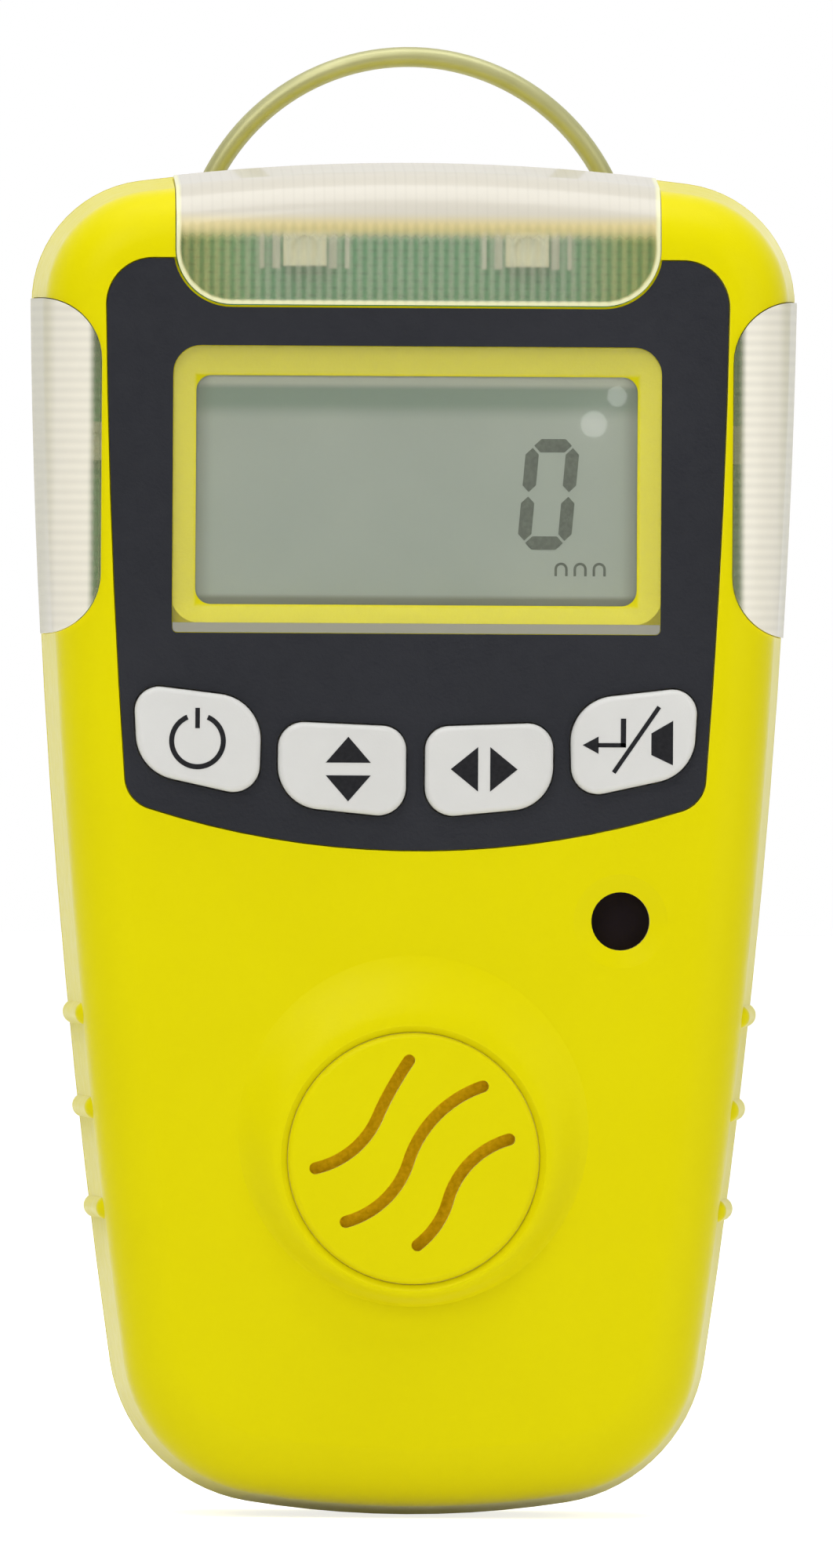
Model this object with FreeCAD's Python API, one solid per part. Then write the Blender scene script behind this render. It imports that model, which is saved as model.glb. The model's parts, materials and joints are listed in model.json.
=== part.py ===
import FreeCAD, Part
import math
import os

# Portable single-gas detector, in millimetres.
# X points right and Z up, the front faces -Y, and Z = 0 is the lowest point of the case.
# Everything is modelled about the seam between the two covers at Y = 0, and is shifted
# along Y at export, so that the origin is at the bottom centre of the whole object.

V = FreeCAD.Vector

# ---- driving dimensions -------------------------------------------------------------
CASE_HEIGHT = 106.6
SIDE_HIGH = (30.1, 94.0)        # two points (x, z) that the side arc passes through
SIDE_LOW = (23.3, 11.0)
TOP_ARC_R = 165.0
SIDE_ARC_R = 645.0
BOTTOM_ARC_R = 80.0
TOP_CORNER_R = 9.7
BOTTOM_CORNER_R = 13.0

FRONT_Y = -15.0
REAR_Y = 15.0
WALL = 1.8
FRONT_EDGE = (5.5, 4.6)         # inset of the flat face, and radius of its rounded edge
REAR_EDGE = (4.6, 4.0)
INNER_FRONT_Y = FRONT_Y + WALL
INNER_REAR_Y = REAR_Y - WALL
FIT_GAP = 0.08                  # between pieces that are set into each other

PANEL_POCKET = 0.6
PANEL_THICK = 0.5
PANEL_TOP_Z = 99.0
PANEL_BOTTOM_Z = 52.6
PANEL_BOTTOM_R = 69.3
PANEL_INSET = 5.7

WINDOW_Z = 81.3                 # centre of the display
BEZEL_OUTER = (38.6, 21.8, 2.2)     # width, height and corner radius
BEZEL_INNER = (34.7, 18.0, 1.2)
BEZEL_INNER_Z = 80.85           # the slope is longer at the top than at the bottom
PANE_HALF = 19.2
PANE_Z = (69.6, 92.2)           # the pane shows a little below the bezel
PANE_R = (0.4, 2.2)             # corner radius at the bottom and at the top
LCD_HALF = (18.6, 10.1)         # half width and half height of the display's glass
LCD_BACK_Y = -11.2
LCD_FRAME_WALL = 1.7
BACKLIGHT_Y = (-11.1, -8.5)
BACKLIGHT_Z = (-8.2, 9.8)       # from the display's centre; the connector is below it
LCD_CONNECTOR_HALF = 16.0
LCD_CONNECTOR_Z = (-9.9, -8.6)

TOP_LENS_HALF = 19.1
TOP_LENS_Z = 95.35
TOP_LENS_CORNER_R = 4.5
SIDE_LENS_X = 24.8
SIDE_LENS_Z = (69.3, 95.9)
SIDE_LENS_CORNER_R = 4.9
LENS_BACK_Y = -1.6
LENS_PROUD = 0.25
LENS_RIB_PITCH = 0.8
LENS_RIB_DEPTH = 0.22
TOP_RIB_Z = (96.4, 102.1)

BUTTON_FACE_Y = -15.95
BUTTON_TRAVEL = 0.5             # to where the plunger closes the switch
BUTTON_FLANGE_Y = (-13.1, -12.4)
BUTTON_FLANGE = 0.5             # how far the flange stands out round the key
BUTTON_EDGE_R = 0.45
BUTTON_PANEL_GAP = 0.12
PLUNGER_R = 0.9
SWITCH_HALF = 2.25
SWITCH_FRONT_Y = -11.3
PLUNGER_TIP_Y = -10.6
# Each outline is four corners (x, z, radius).
POWER_OUTLINE = [(-22.2, 65.6, 1.9), (-12.1, 64.4, 3.6), (-12.3, 56.6, 2.1), (-21.8, 58.7, 3.6)]
ARROW_OUTLINE = [(-10.8, 62.7, 2.0), (-0.75, 62.3, 1.9), (-0.75, 55.1, 2.2), (-10.8, 56.1, 3.4)]

BOSS_BASE = (30.7, 14.1)        # centre z and radius where the boss meets the face
BOSS_TOP = (28.4, 10.6)
BOSS_FACE_Y = -16.8
SENSOR_Z = 28.4
BOSS_ROOT_Y = FRONT_Y + 0.04    # just under the face, so that the slope starts level with it
CAP_R = 9.9
CAP_THICK = 1.2
CAP_GAP = 0.02
CAP_BEVEL = 0.5
SLOT_WIDTH = 0.95
FILTER_R = 8.3
SENSOR_R = 10.1
SENSOR_Y = (-13.1, 3.4)
SENSOR_GASKET_Y = (-14.1, -13.1)
CHAMBER_R = (10.4, 11.9)
CHAMBER_BACK_Y = -2.0

SOUND_X, SOUND_Z = 16.2, 47.1
SOUND_R = 2.3
SOUND_DISH_R = 3.7
SOUND_DISH_DEPTH = 0.35
BUZZER_R = 6.0

GRIP_Z = (39.6, 32.2, 24.3)
GRIP_R = 0.95
GRIP_PROUD = 0.5

MAIN_BOARD_Y = (-8.0, -6.8)
MAIN_BOARD_BOTTOM = 41.2
BOARD_INSET = 3.2
SENSOR_BOARD_Y = (5.6, 6.8)
SENSOR_BOARD_Z = (13.5, 44.4)

CASE_SCREWS = [(21.9, 97.2), (15.5, 9.5)]      # (x, z), mirrored to both sides
CASE_BOSS_R = 2.5
BOARD_SCREWS = [(22.6, 54.5), (22.8, 67.6)]
SENSOR_SCREWS = [(19.0, 41.5)]

BATTERY_Z = (46.0, 96.0)
BATTERY_Y = (2.2, 12.2)
BATTERY_HALF = 17.0

MOTOR_X, MOTOR_Y = -18.6, 2.2
MOTOR_R = 3.0
MOTOR_Z = (22.0, 33.0)

CLIP_PLATE_Y = (14.5, 15.5)
CLIP_PLATE_Z = (27.0, 70.0)
CLIP_PLATE_HALF = 7.5
CLIP_SCREW_Z = 31.0
PIN_Y, PIN_Z = 18.35, 62.0
PIN_R = 1.1
JAW_THICK = 1.0
JAW_HALF = 6.3
JAW_Y = 21.7                    # middle of the jaw's straight part
JAW_LIP = (16.4, 37.4)          # (y, z) of the toothed end
JAW_TIP = (25.0, 76.5)          # (y, z) of the thumb end
JAW_BEND_Z = 67.5

BAIL_Y = 16.7
BAIL_AXIS_Z = 96.8
BAIL_BEND_R = 1.0
BAIL_R = 17.45                  # to the middle of the wire
WIRE_R = 0.8
LUG_X = (13.2, 16.2)

PORT_Y = 8.25
PORT_HALF = (6.2, 2.8)          # half width and half depth of the rubber plug
PORT_Z = (0.35, 1.5)
PLUG_BARREL_R = (PORT_Z[1] - PORT_Z[0]) / 2     # rolled end that the plug turns about
PLUG_HINGE_X = -5.6
PLUG_HINGE_Z = (PORT_Z[0] + PORT_Z[1]) / 2
PLUG_BARREL_HALF = 1.9
PLUG_GAP = 0.06

TOP_LED_X = (-8.8, 8.7)
TOP_LED_Z = 99.9
TOP_LED_SIZE = (3.4, 2.8, 1.3)      # width, height and depth
SIDE_LED_X, SIDE_LED_Z = 25.2, 84.6
SIDE_LED_SIZE = (2.0, 3.0, 1.0)
# Each chip on the back of the main board is (x0, x1, z0, z1, how far it stands out).
CHIPS = [(-9, 1, 74, 84, 1.4), (6, 13, 76, 81, 1.2), (-14, -10, 60, 65, 1.0), (4, 10, 60, 66, 1.6)]
RESISTOR_SIZE = (1.4, 1.0, 0.7)
RESISTOR_ROW = (-17.0, 88.0)    # (x, z) of the first one's corner
RESISTOR_PITCH = 2.4
RESISTOR_COUNT = 6
BATTERY_CONNECTOR = (-9.0, -2.0, MAIN_BOARD_Y[1], -3.4, 96.8, 100.6)
LEAD_X = (-4.2, -6.8)
LEAD_R = 0.6
LEAD_Z = 99.0


# ---- small helpers ------------------------------------------------------------------
def box(x0, x1, y0, y1, z0, z1):
    return Part.makeBox(x1 - x0, y1 - y0, z1 - z0, V(x0, y0, z0))


def rod_x(y, z, radius, x0, x1):
    return Part.makeCylinder(radius, x1 - x0, V(x0, y, z), V(1, 0, 0))


def rod_y(x, z, radius, y0, y1):
    return Part.makeCylinder(radius, y1 - y0, V(x, y0, z), V(0, 1, 0))


def rod_z(x, y, radius, z0, z1):
    return Part.makeCylinder(radius, z1 - z0, V(x, y, z0), V(0, 0, 1))


def ring_y(x, z, inner, outer, y0, y1):
    return rod_y(x, z, outer, y0, y1).cut(rod_y(x, z, inner, y0 - 1, y1 + 1))


def cone_y(x, z, front_radius, back_radius, y0, depth):
    return Part.makeCone(front_radius, back_radius, depth, V(x, y0, z), V(0, 1, 0))


def mirrored(shape):
    return shape.mirror(V(0, 0, 0), V(1, 0, 0))


def both_sides(shape):
    return [shape, mirrored(shape)]


def fuse_all(first, others):
    return first.multiFuse(others).removeSplitter()


def cut_all(shape, tools):
    for tool in tools:
        shape = shape.cut(tool)
    return shape


def edges_along(shape, direction, accept=None):
    found = []
    for edge in shape.Edges:
        if len(edge.Vertexes) != 2:
            continue
        run = edge.Vertexes[1].Point - edge.Vertexes[0].Point
        straight = abs(edge.Length - run.Length) < 1e-6
        if straight and run.Length > 1e-6 and run.cross(direction).Length < 1e-6 * run.Length:
            if accept is None or accept(edge.CenterOfMass):
                found.append(edge)
    return found


def rounded_box(x0, x1, y0, y1, z0, z1, radius, direction):
    block = box(x0, x1, y0, y1, z0, z1)
    return block.makeFillet(radius, edges_along(block, direction))


def rounded_polygon(corners, y, grow=0.0):
    """Closed wire at height y: straight sides joined by a tangent arc at each corner."""
    count = len(corners)
    points = []
    for i, (x, z, radius) in enumerate(corners):
        here = V(x, y, z)
        before = V(corners[i - 1][0], y, corners[i - 1][1]) - here
        after = V(corners[(i + 1) % count][0], y, corners[(i + 1) % count][1]) - here
        before.normalize()
        after.normalize()
        half = before.getAngle(after) / 2
        reach = radius / math.tan(half)
        bisector = before + after
        bisector.normalize()
        middle = here + bisector * (radius / math.sin(half) - radius)
        points.append((here + before * reach, middle, here + after * reach))
    edges = []
    for i, (start, middle, end) in enumerate(points):
        edges.append(Part.Arc(start, middle, end).toShape())
        edges.append(Part.makeLine(end, points[(i + 1) % count][0]))
    wire = Part.Wire(edges)
    if grow:
        wire = wire.makeOffset2D(grow)
    return wire


def prism(wire, depth):
    """A solid from a wire that lies in an XZ plane, reaching depth along Y."""
    return Part.Face(wire).extrude(V(0, depth, 0))


def rectangle(width, height, radius, z_middle, y):
    half_w, half_h = width / 2, height / 2
    corners = [(-half_w, z_middle - half_h, radius), (half_w, z_middle - half_h, radius),
               (half_w, z_middle + half_h, radius), (-half_w, z_middle + half_h, radius)]
    return rounded_polygon(corners, y)


def bent_path(points, radii):
    """A wire through points, with a tangent arc of the given radius at each inner one."""
    edges = []
    start = points[0]
    for i, radius in enumerate(radii):
        corner = points[i + 1]
        before = points[i] - corner
        after = points[i + 2] - corner
        before.normalize()
        after.normalize()
        half = before.getAngle(after) / 2
        reach = radius / math.tan(half)
        bisector = before + after
        bisector.normalize()
        first = corner + before * reach
        last = corner + after * reach
        middle = corner + bisector * (radius / math.sin(half) - radius)
        edges.append(Part.makeLine(start, first))
        edges.append(Part.Arc(first, middle, last).toShape())
        start = last
    edges.append(Part.makeLine(start, points[-1]))
    return Part.Wire(edges)


def round_bar(path, radius):
    """A round bar along a path of lines and tangent arcs: cylinders and parts of tori."""
    runs = []
    for edge in path.OrderedEdges:
        first = edge.valueAt(edge.FirstParameter)
        if edge.Curve.TypeId == "Part::GeomLine":
            last = edge.valueAt(edge.LastParameter)
            runs.append(Part.makeCylinder(radius, edge.Length, first, last - first))
            continue
        disc = Part.Face(Part.Wire([Part.makeCircle(radius, first, edge.tangentAt(edge.FirstParameter))]))
        turn = math.degrees(edge.Length / edge.Curve.Radius)
        runs.append(disc.revolve(edge.Curve.Center, edge.Curve.Axis, turn))
    return runs[0].multiFuse(runs[1:])


# ---- case outline -------------------------------------------------------------------
def circle_crossings(centre_a, radius_a, centre_b, radius_b):
    dx, dz = centre_b[0] - centre_a[0], centre_b[1] - centre_a[1]
    apart = math.hypot(dx, dz)
    along = (radius_a ** 2 - radius_b ** 2 + apart ** 2) / (2 * apart)
    off = math.sqrt(radius_a ** 2 - along ** 2)
    x, z = centre_a[0] + along * dx / apart, centre_a[1] + along * dz / apart
    return [(x + off * dz / apart, z - off * dx / apart), (x - off * dz / apart, z + off * dx / apart)]


TOP_CENTRE = (0.0, CASE_HEIGHT - TOP_ARC_R)
BOTTOM_CENTRE = (0.0, BOTTOM_ARC_R)
SIDE_CENTRE = min(circle_crossings(SIDE_HIGH, SIDE_ARC_R, SIDE_LOW, SIDE_ARC_R))
TOP_CORNER_CENTRE = max(circle_crossings(
    TOP_CENTRE, TOP_ARC_R - TOP_CORNER_R, SIDE_CENTRE, SIDE_ARC_R - TOP_CORNER_R))
BOTTOM_CORNER_CENTRE = min(circle_crossings(
    BOTTOM_CENTRE, BOTTOM_ARC_R - BOTTOM_CORNER_R, SIDE_CENTRE, SIDE_ARC_R - BOTTOM_CORNER_R))


def on_circle(centre, radius, towards):
    length = math.hypot(towards[0] - centre[0], towards[1] - centre[1])
    return (centre[0] + (towards[0] - centre[0]) / length * radius,
            centre[1] + (towards[1] - centre[1]) / length * radius)


def side_x(z):
    """Half width of the case at height z, on the long side arc."""
    return SIDE_CENTRE[0] + math.sqrt(SIDE_ARC_R ** 2 - (z - SIDE_CENTRE[1]) ** 2)


def outline(inset, y):
    """The case outline, moved inwards by inset: eight arcs that run tangent to each other."""
    joints = [on_circle(TOP_CENTRE, TOP_ARC_R - inset, TOP_CORNER_CENTRE),
              on_circle(SIDE_CENTRE, SIDE_ARC_R - inset, TOP_CORNER_CENTRE),
              on_circle(SIDE_CENTRE, SIDE_ARC_R - inset, BOTTOM_CORNER_CENTRE),
              on_circle(BOTTOM_CENTRE, BOTTOM_ARC_R - inset, BOTTOM_CORNER_CENTRE)]
    circles = [(TOP_CORNER_CENTRE, TOP_CORNER_R), (SIDE_CENTRE, SIDE_ARC_R),
               (BOTTOM_CORNER_CENTRE, BOTTOM_CORNER_R)]
    right = []
    for (centre, radius), start, end in zip(circles, joints, joints[1:]):
        between = ((start[0] + end[0]) / 2, (start[1] + end[1]) / 2)
        right.append((start, on_circle(centre, radius - inset, between), end))
    left = [tuple((-x, z) for x, z in reversed(arc)) for arc in reversed(right)]
    top = [((-joints[0][0], joints[0][1]), (0.0, CASE_HEIGHT - inset), joints[0])]
    bottom = [(joints[3], (0.0, inset), (-joints[3][0], joints[3][1]))]
    arcs = top + right + bottom + left
    return Part.Wire([Part.Arc(*[V(x, y, z) for x, z in arc]).toShape() for arc in arcs])


def shell_block(offset, face_y, edge, overrun=0.0):
    """One half of the case from the seam to its face, with drafted sides and a rounded edge.

    Every surface is moved inwards by offset, so that two blocks make an even wall."""
    towards_face = 1 if face_y > 0 else -1
    face_inset, radius = edge
    depth = abs(face_y) - radius
    reach = math.hypot(face_inset, depth)
    draft = math.atan(face_inset / depth) - math.asin(radius / reach)
    rounding = radius - offset
    start_inset = offset / math.cos(draft) - overrun * math.tan(draft)
    sections = []
    steps = 5
    for k in range(steps + 1):
        turn = draft + (math.pi / 2 - draft) * k / steps
        inset = face_inset - rounding * math.cos(turn)
        sections.append(outline(inset, towards_face * (depth + rounding * math.sin(turn))))
    seam = outline(start_inset, -towards_face * overrun)
    sides = Part.makeLoft([seam, sections[0]], True, True)
    edge_part = Part.makeLoft(sections, True, False)
    return sides.fuse(edge_part)


def front_block(offset, overrun=0.0):
    return shell_block(offset, FRONT_Y, FRONT_EDGE, overrun)


def rear_block(offset, overrun=0.0):
    return shell_block(offset, REAR_Y, REAR_EDGE, overrun)


# ---- regions shared by several pieces -----------------------------------------------
def top_lens_region(grow):
    above = CASE_HEIGHT + 10
    corners = [(-TOP_LENS_HALF - grow, TOP_LENS_Z - grow, TOP_LENS_CORNER_R + grow),
               (TOP_LENS_HALF + grow, TOP_LENS_Z - grow, TOP_LENS_CORNER_R + grow),
               (TOP_LENS_HALF + grow, above, 1.0), (-TOP_LENS_HALF - grow, above, 1.0)]
    return prism(rounded_polygon(corners, FRONT_Y - 2), LENS_BACK_Y + grow - FRONT_Y + 2)


def side_lens_region(grow):
    """The right-hand side lens; the left one is its mirror image."""
    low, high = SIDE_LENS_Z
    outside = SIDE_HIGH[0] + 10
    inner_x = SIDE_LENS_X - grow
    radius = SIDE_LENS_CORNER_R + grow
    corners = [(inner_x, low - grow, radius), (outside, low - grow, 1.0),
               (outside, high + grow, 1.0), (inner_x, high + grow, radius)]
    return prism(rounded_polygon(corners, FRONT_Y - 2), LENS_BACK_Y + grow - FRONT_Y + 2)


def panel_region(y0, y1, grow):
    """Outline of the control panel: it follows the case, the top lens and a low arc."""
    follow = Part.Face(outline(PANEL_INSET - grow, y0)).extrude(V(0, y1 - y0, 0))
    bowl = rod_y(0, PANEL_BOTTOM_Z + PANEL_BOTTOM_R, PANEL_BOTTOM_R + grow, y0, y1)
    below_top = box(-40, 40, y0, y1, 0, PANEL_TOP_Z + grow)
    region = follow.common(bowl).common(below_top)
    top_edges = edges_along(region, V(0, 1, 0), lambda c: c.z > 90 and abs(c.x) > 18)
    region = region.makeFillet(3.6 + grow, top_edges)
    low_edges = edges_along(region, V(0, 1, 0), lambda c: c.z < 58 and abs(c.x) > 18)
    return region.makeFillet(2.6 + grow, low_edges)


def button_outlines():
    """Name, corners and centre (x, z) of each button, from left to right."""
    def flip(corners):
        return [(-x, z, radius) for x, z, radius in reversed(corners)]

    outlines = [("power", POWER_OUTLINE), ("up_down", ARROW_OUTLINE),
                ("left_right", flip(ARROW_OUTLINE)), ("enter_mute", flip(POWER_OUTLINE))]
    found = []
    for name, corners in outlines:
        middle = (sum(c[0] for c in corners) / 4, sum(c[1] for c in corners) / 4)
        found.append((name, corners, middle))
    return found


# ---- covers -------------------------------------------------------------------------
def sensor_boss():
    """Raised round boss whose slope is long above the sensor and short below it."""
    sections = []
    steps = 8
    for k in range(steps + 1):
        part = k / steps
        rise = part * part * (3 - 2 * part)
        z = BOSS_BASE[0] + (BOSS_TOP[0] - BOSS_BASE[0]) * part
        radius = BOSS_BASE[1] + (BOSS_TOP[1] - BOSS_BASE[1]) * part
        y = BOSS_ROOT_Y + (BOSS_FACE_Y - BOSS_ROOT_Y) * rise
        sections.append(Part.Wire([Part.makeCircle(radius, V(0, y, z), V(0, -1, 0))]))
    return Part.makeLoft(sections, True, False)


def grip_ribs():
    """Three short half-round ribs on the right-hand side of the front cover."""
    ribs = []
    for z in GRIP_Z:
        seam_x = side_x(z) - GRIP_R + GRIP_PROUD
        front_x = seam_x - 0.8
        start, end = V(seam_x, -0.9, z), V(front_x, -10.2, z)
        ribs.append(Part.makeCylinder(GRIP_R, (end - start).Length, start, end - start))
        ribs.append(Part.makeSphere(GRIP_R, end))
    return ribs


def bezel_cut():
    outer = rectangle(*BEZEL_OUTER, WINDOW_Z, FRONT_Y + PANEL_POCKET)
    inner = rectangle(*BEZEL_INNER, BEZEL_INNER_Z, INNER_FRONT_Y)
    slope = Part.makeLoft([outer, inner], True, True)
    through = prism(rectangle(*BEZEL_INNER, BEZEL_INNER_Z, INNER_FRONT_Y - 0.3), 2.0)
    return slope.fuse(through)


def front_cover():
    shell = front_block(0).cut(front_block(WALL, overrun=1.0))
    adds = [sensor_boss(), rod_y(0, SENSOR_Z, CHAMBER_R[1], INNER_FRONT_Y - 0.4, CHAMBER_BACK_Y)]
    for x, z in CASE_SCREWS:
        adds += both_sides(rod_y(x, z, CASE_BOSS_R, INNER_FRONT_Y - 0.4, -0.2))
    for x, z in BOARD_SCREWS:
        adds += both_sides(rod_y(x, z, 1.8, INNER_FRONT_Y - 0.3, MAIN_BOARD_Y[0]))
    adds.append(ring_y(SOUND_X, SOUND_Z, 6.3, 7.2, INNER_FRONT_Y - 0.3, -11.4))
    for rib in grip_ribs():
        adds += both_sides(rib)
    cover = shell.multiFuse(adds)
    cap_hole_r = CAP_R + CAP_GAP
    cuts = [rod_y(0, SENSOR_Z, cap_hole_r, BOSS_FACE_Y - 1, BOSS_FACE_Y + CAP_THICK),
            cone_y(0, SENSOR_Z, cap_hole_r + CAP_BEVEL, cap_hole_r, BOSS_FACE_Y, CAP_BEVEL),
            rod_y(0, SENSOR_Z, FILTER_R + 0.1, BOSS_FACE_Y, FRONT_Y + 2),
            rod_y(0, SENSOR_Z, CHAMBER_R[0], SENSOR_GASKET_Y[0], 1),
            top_lens_region(0), side_lens_region(0), mirrored(side_lens_region(0)),
            panel_region(FRONT_Y - 1, FRONT_Y + PANEL_POCKET, 0.1), bezel_cut(),
            rod_y(SOUND_X, SOUND_Z, SOUND_R, FRONT_Y - 1, INNER_FRONT_Y + 1),
            cone_y(SOUND_X, SOUND_Z, SOUND_DISH_R, SOUND_R, FRONT_Y, SOUND_DISH_DEPTH)]
    for x, z in CASE_SCREWS:
        cuts += both_sides(rod_y(x, z, 1.0, -9.0, 1))
    for x, z in BOARD_SCREWS:
        cuts += both_sides(rod_y(x, z, 0.6, -11.5, 1))
    for _, corners, _ in button_outlines():
        cuts.append(prism(rounded_polygon(corners, FRONT_Y, grow=0.25), 3.0))
    seam_groove = prism(outline(-1, -0.45), 2.0).cut(prism(outline(0.4, -1), 3.0))
    cuts.append(seam_groove)
    return cut_all(cover, cuts)


def plug_pocket(grow):
    half_x, half_y = PORT_HALF
    return rounded_box(-half_x - grow, half_x + grow, PORT_Y - half_y - grow, PORT_Y + half_y + grow,
                       -2.0, PORT_Z[1] + grow / 2, 2.4, V(0, 0, 1))


def bail_lug():
    x0, x1 = LUG_X
    half = 1.9
    lug = rod_x(BAIL_Y, BAIL_AXIS_Z, half, x0, x1)
    return lug.fuse(box(x0, x1, REAR_Y - 0.6, BAIL_Y, BAIL_AXIS_Z - half, BAIL_AXIS_Z + half))


def rear_cover():
    shell = rear_block(0).cut(rear_block(WALL, overrun=1.0))
    wall = INNER_REAR_Y + 0.4
    low, high = BATTERY_Z
    cradle = box(-BATTERY_HALF - 1.7, BATTERY_HALF + 1.7, 6.0, wall, low - 1.4, high + 1.4)
    cradle = cradle.cut(box(-BATTERY_HALF - 0.2, BATTERY_HALF + 0.2, 5, wall + 1, low - 0.2, high + 0.2))
    adds = [cradle, box(-9.0, 9.0, SENSOR_BOARD_Y[1] + 0.1, 12.0, 1.0, 3.4),
            rod_y(0, CLIP_SCREW_Z, 3.0, 8.6, wall)]
    for x, z in CASE_SCREWS:
        adds += both_sides(rod_y(x, z, 2.9, 0.1, wall))
    for x, z in SENSOR_SCREWS:
        adds += both_sides(rod_y(x, z, 1.8, SENSOR_BOARD_Y[1], wall))
    adds += both_sides(bail_lug())
    cover = shell.multiFuse(adds)
    gasket_groove = prism(outline(0.55, -1), 1.7).cut(prism(outline(1.35, -2), 4.0))
    hollow_half = PLUG_BARREL_HALF + 0.7        # wider than the barrel, for the plug's corners as it turns
    hollow_r = PLUG_BARREL_R + PLUG_GAP
    cuts = [gasket_groove, plug_pocket(0.15),
            rod_y(PLUG_HINGE_X, PLUG_HINGE_Z, hollow_r, PORT_Y - hollow_half, PORT_Y + hollow_half),
            box(-4.3, 4.7, PORT_Y - 1.6, PORT_Y + 1.6, 0, 4.0),
            clip_plate_blank(CLIP_PLATE_Y[0], 3.0, 0.15),
            rod_y(0, CLIP_SCREW_Z, 1.2, 9.4, REAR_Y + 1),
            label_blank(REAR_Y - 0.3, 2.0, 0.1),
            box(-9.0, -2.0, 5.0, wall - 2, high, high + 2)]
    for x, z in CASE_SCREWS:
        cuts += both_sides(rod_y(x, z, 1.15, -1, REAR_Y + 1))
        cuts += both_sides(rod_y(x, z, 2.2, 12.2, REAR_Y + 1))
    for x, z in SENSOR_SCREWS:
        cuts += both_sides(rod_y(x, z, 0.6, 5.0, 11.0))
    cuts += both_sides(rod_x(BAIL_Y, BAIL_AXIS_Z, WIRE_R + 0.07, LUG_X[0] - 1, LUG_X[1] + 1))
    return cut_all(cover, cuts)


def case_gasket():
    return prism(outline(0.55, 0), 0.7).cut(prism(outline(1.35, -1), 3.0))


def case_screws():
    screws = []
    for x, z in CASE_SCREWS:
        head = rod_y(x, z, 2.0, 12.2, 13.8)
        screw = head.fuse(rod_y(x, z, 1.0, -8.0, 12.3))
        for slot in (box(x - 1.3, x + 1.3, 13.0, 14, z - 0.3, z + 0.3),
                     box(x - 0.3, x + 0.3, 13.0, 14, z - 1.3, z + 1.3)):
            screw = screw.cut(slot)
        screws += both_sides(screw)
    return Part.makeCompound(screws)


def label_blank(y, depth, grow):
    return prism(rectangle(26 + 2 * grow, 9 + 2 * grow, 1.5, 16.0, y), depth)


# ---- panel, display and buttons -----------------------------------------------------
def pane_outline(y, grow):
    (low, high), (low_r, high_r) = PANE_Z, PANE_R
    corners = [(-PANE_HALF, low, low_r), (PANE_HALF, low, low_r),
               (PANE_HALF, high, high_r), (-PANE_HALF, high, high_r)]
    return rounded_polygon(corners, y, grow)


def control_panel():
    y0 = FRONT_Y + PANEL_POCKET - PANEL_THICK
    y1 = FRONT_Y + PANEL_POCKET
    panel = panel_region(y0, y1, 0)
    cuts = [top_lens_region(0.15), prism(pane_outline(y0 - 1, 0), 3)]
    for _, corners, _ in button_outlines():
        cuts.append(prism(rounded_polygon(corners, y0 - 1, grow=BUTTON_PANEL_GAP), 3))
    return cut_all(panel, cuts)


def display_window():
    return prism(pane_outline(FRONT_Y + PANEL_POCKET - PANEL_THICK, -0.05), PANEL_THICK)


def display_box(half_x, y0, y1, z0, z1):
    """A block behind the window, even about X = 0; z0 and z1 are from the display's centre."""
    return box(-half_x, half_x, y0, y1, WINDOW_Z + z0, WINDOW_Z + z1)


def lcd_frame():
    hole_x, hole_z = LCD_HALF[0] + 0.1, LCD_HALF[1] + 0.1
    outer_x, outer_z = hole_x + LCD_FRAME_WALL, hole_z + LCD_FRAME_WALL
    outer = display_box(outer_x, INNER_FRONT_Y + 0.1, MAIN_BOARD_Y[0], -outer_z, outer_z)
    return outer.cut(display_box(hole_x, INNER_FRONT_Y - 1, MAIN_BOARD_Y[0] + 1, -hole_z, hole_z))


def lcd_glass():
    half_x, half_z = LCD_HALF
    return display_box(half_x, INNER_FRONT_Y + 0.15, LCD_BACK_Y, -half_z, half_z)


def lcd_backlight():
    return display_box(LCD_HALF[0] - 0.2, *BACKLIGHT_Y, *BACKLIGHT_Z)


def lcd_connector():
    return display_box(LCD_CONNECTOR_HALF, LCD_BACK_Y, MAIN_BOARD_Y[0], *LCD_CONNECTOR_Z)


def button_cap(corners):
    """A key that stands out of the panel, with a flange behind the cover's wall."""
    cap = prism(rounded_polygon(corners, BUTTON_FACE_Y), BUTTON_FLANGE_Y[1] - BUTTON_FACE_Y)
    rim = [e for e in cap.Edges if all(abs(v.Point.y - BUTTON_FACE_Y) < 1e-6 for v in e.Vertexes)]
    cap = cap.makeFillet(BUTTON_EDGE_R, rim)
    flange_y0, flange_y1 = BUTTON_FLANGE_Y
    flange = prism(rounded_polygon(corners, flange_y0, grow=BUTTON_FLANGE), flange_y1 - flange_y0)
    return cap.fuse(flange)


def switch_plunger(middle):
    x, z = middle
    return rod_y(x, z, PLUNGER_R, BUTTON_FLANGE_Y[1], PLUNGER_TIP_Y)


def tact_switches():
    bodies = []
    for _, _, (x, z) in button_outlines():
        body = box(x - SWITCH_HALF, x + SWITCH_HALF, SWITCH_FRONT_Y, MAIN_BOARD_Y[0],
                   z - SWITCH_HALF, z + SWITCH_HALF)
        well_back_y = PLUNGER_TIP_Y + BUTTON_TRAVEL + 0.2
        bodies.append(body.cut(rod_y(x, z, PLUNGER_R + 0.1, SWITCH_FRONT_Y - 1, well_back_y)))
    return Part.makeCompound(bodies)


# ---- alarm lenses -------------------------------------------------------------------
def clear_lens(region):
    """A clear piece of the case wall that stands a little proud of it."""
    return front_block(-LENS_PROUD).common(region).cut(front_block(WALL, overrun=1.0))


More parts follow.
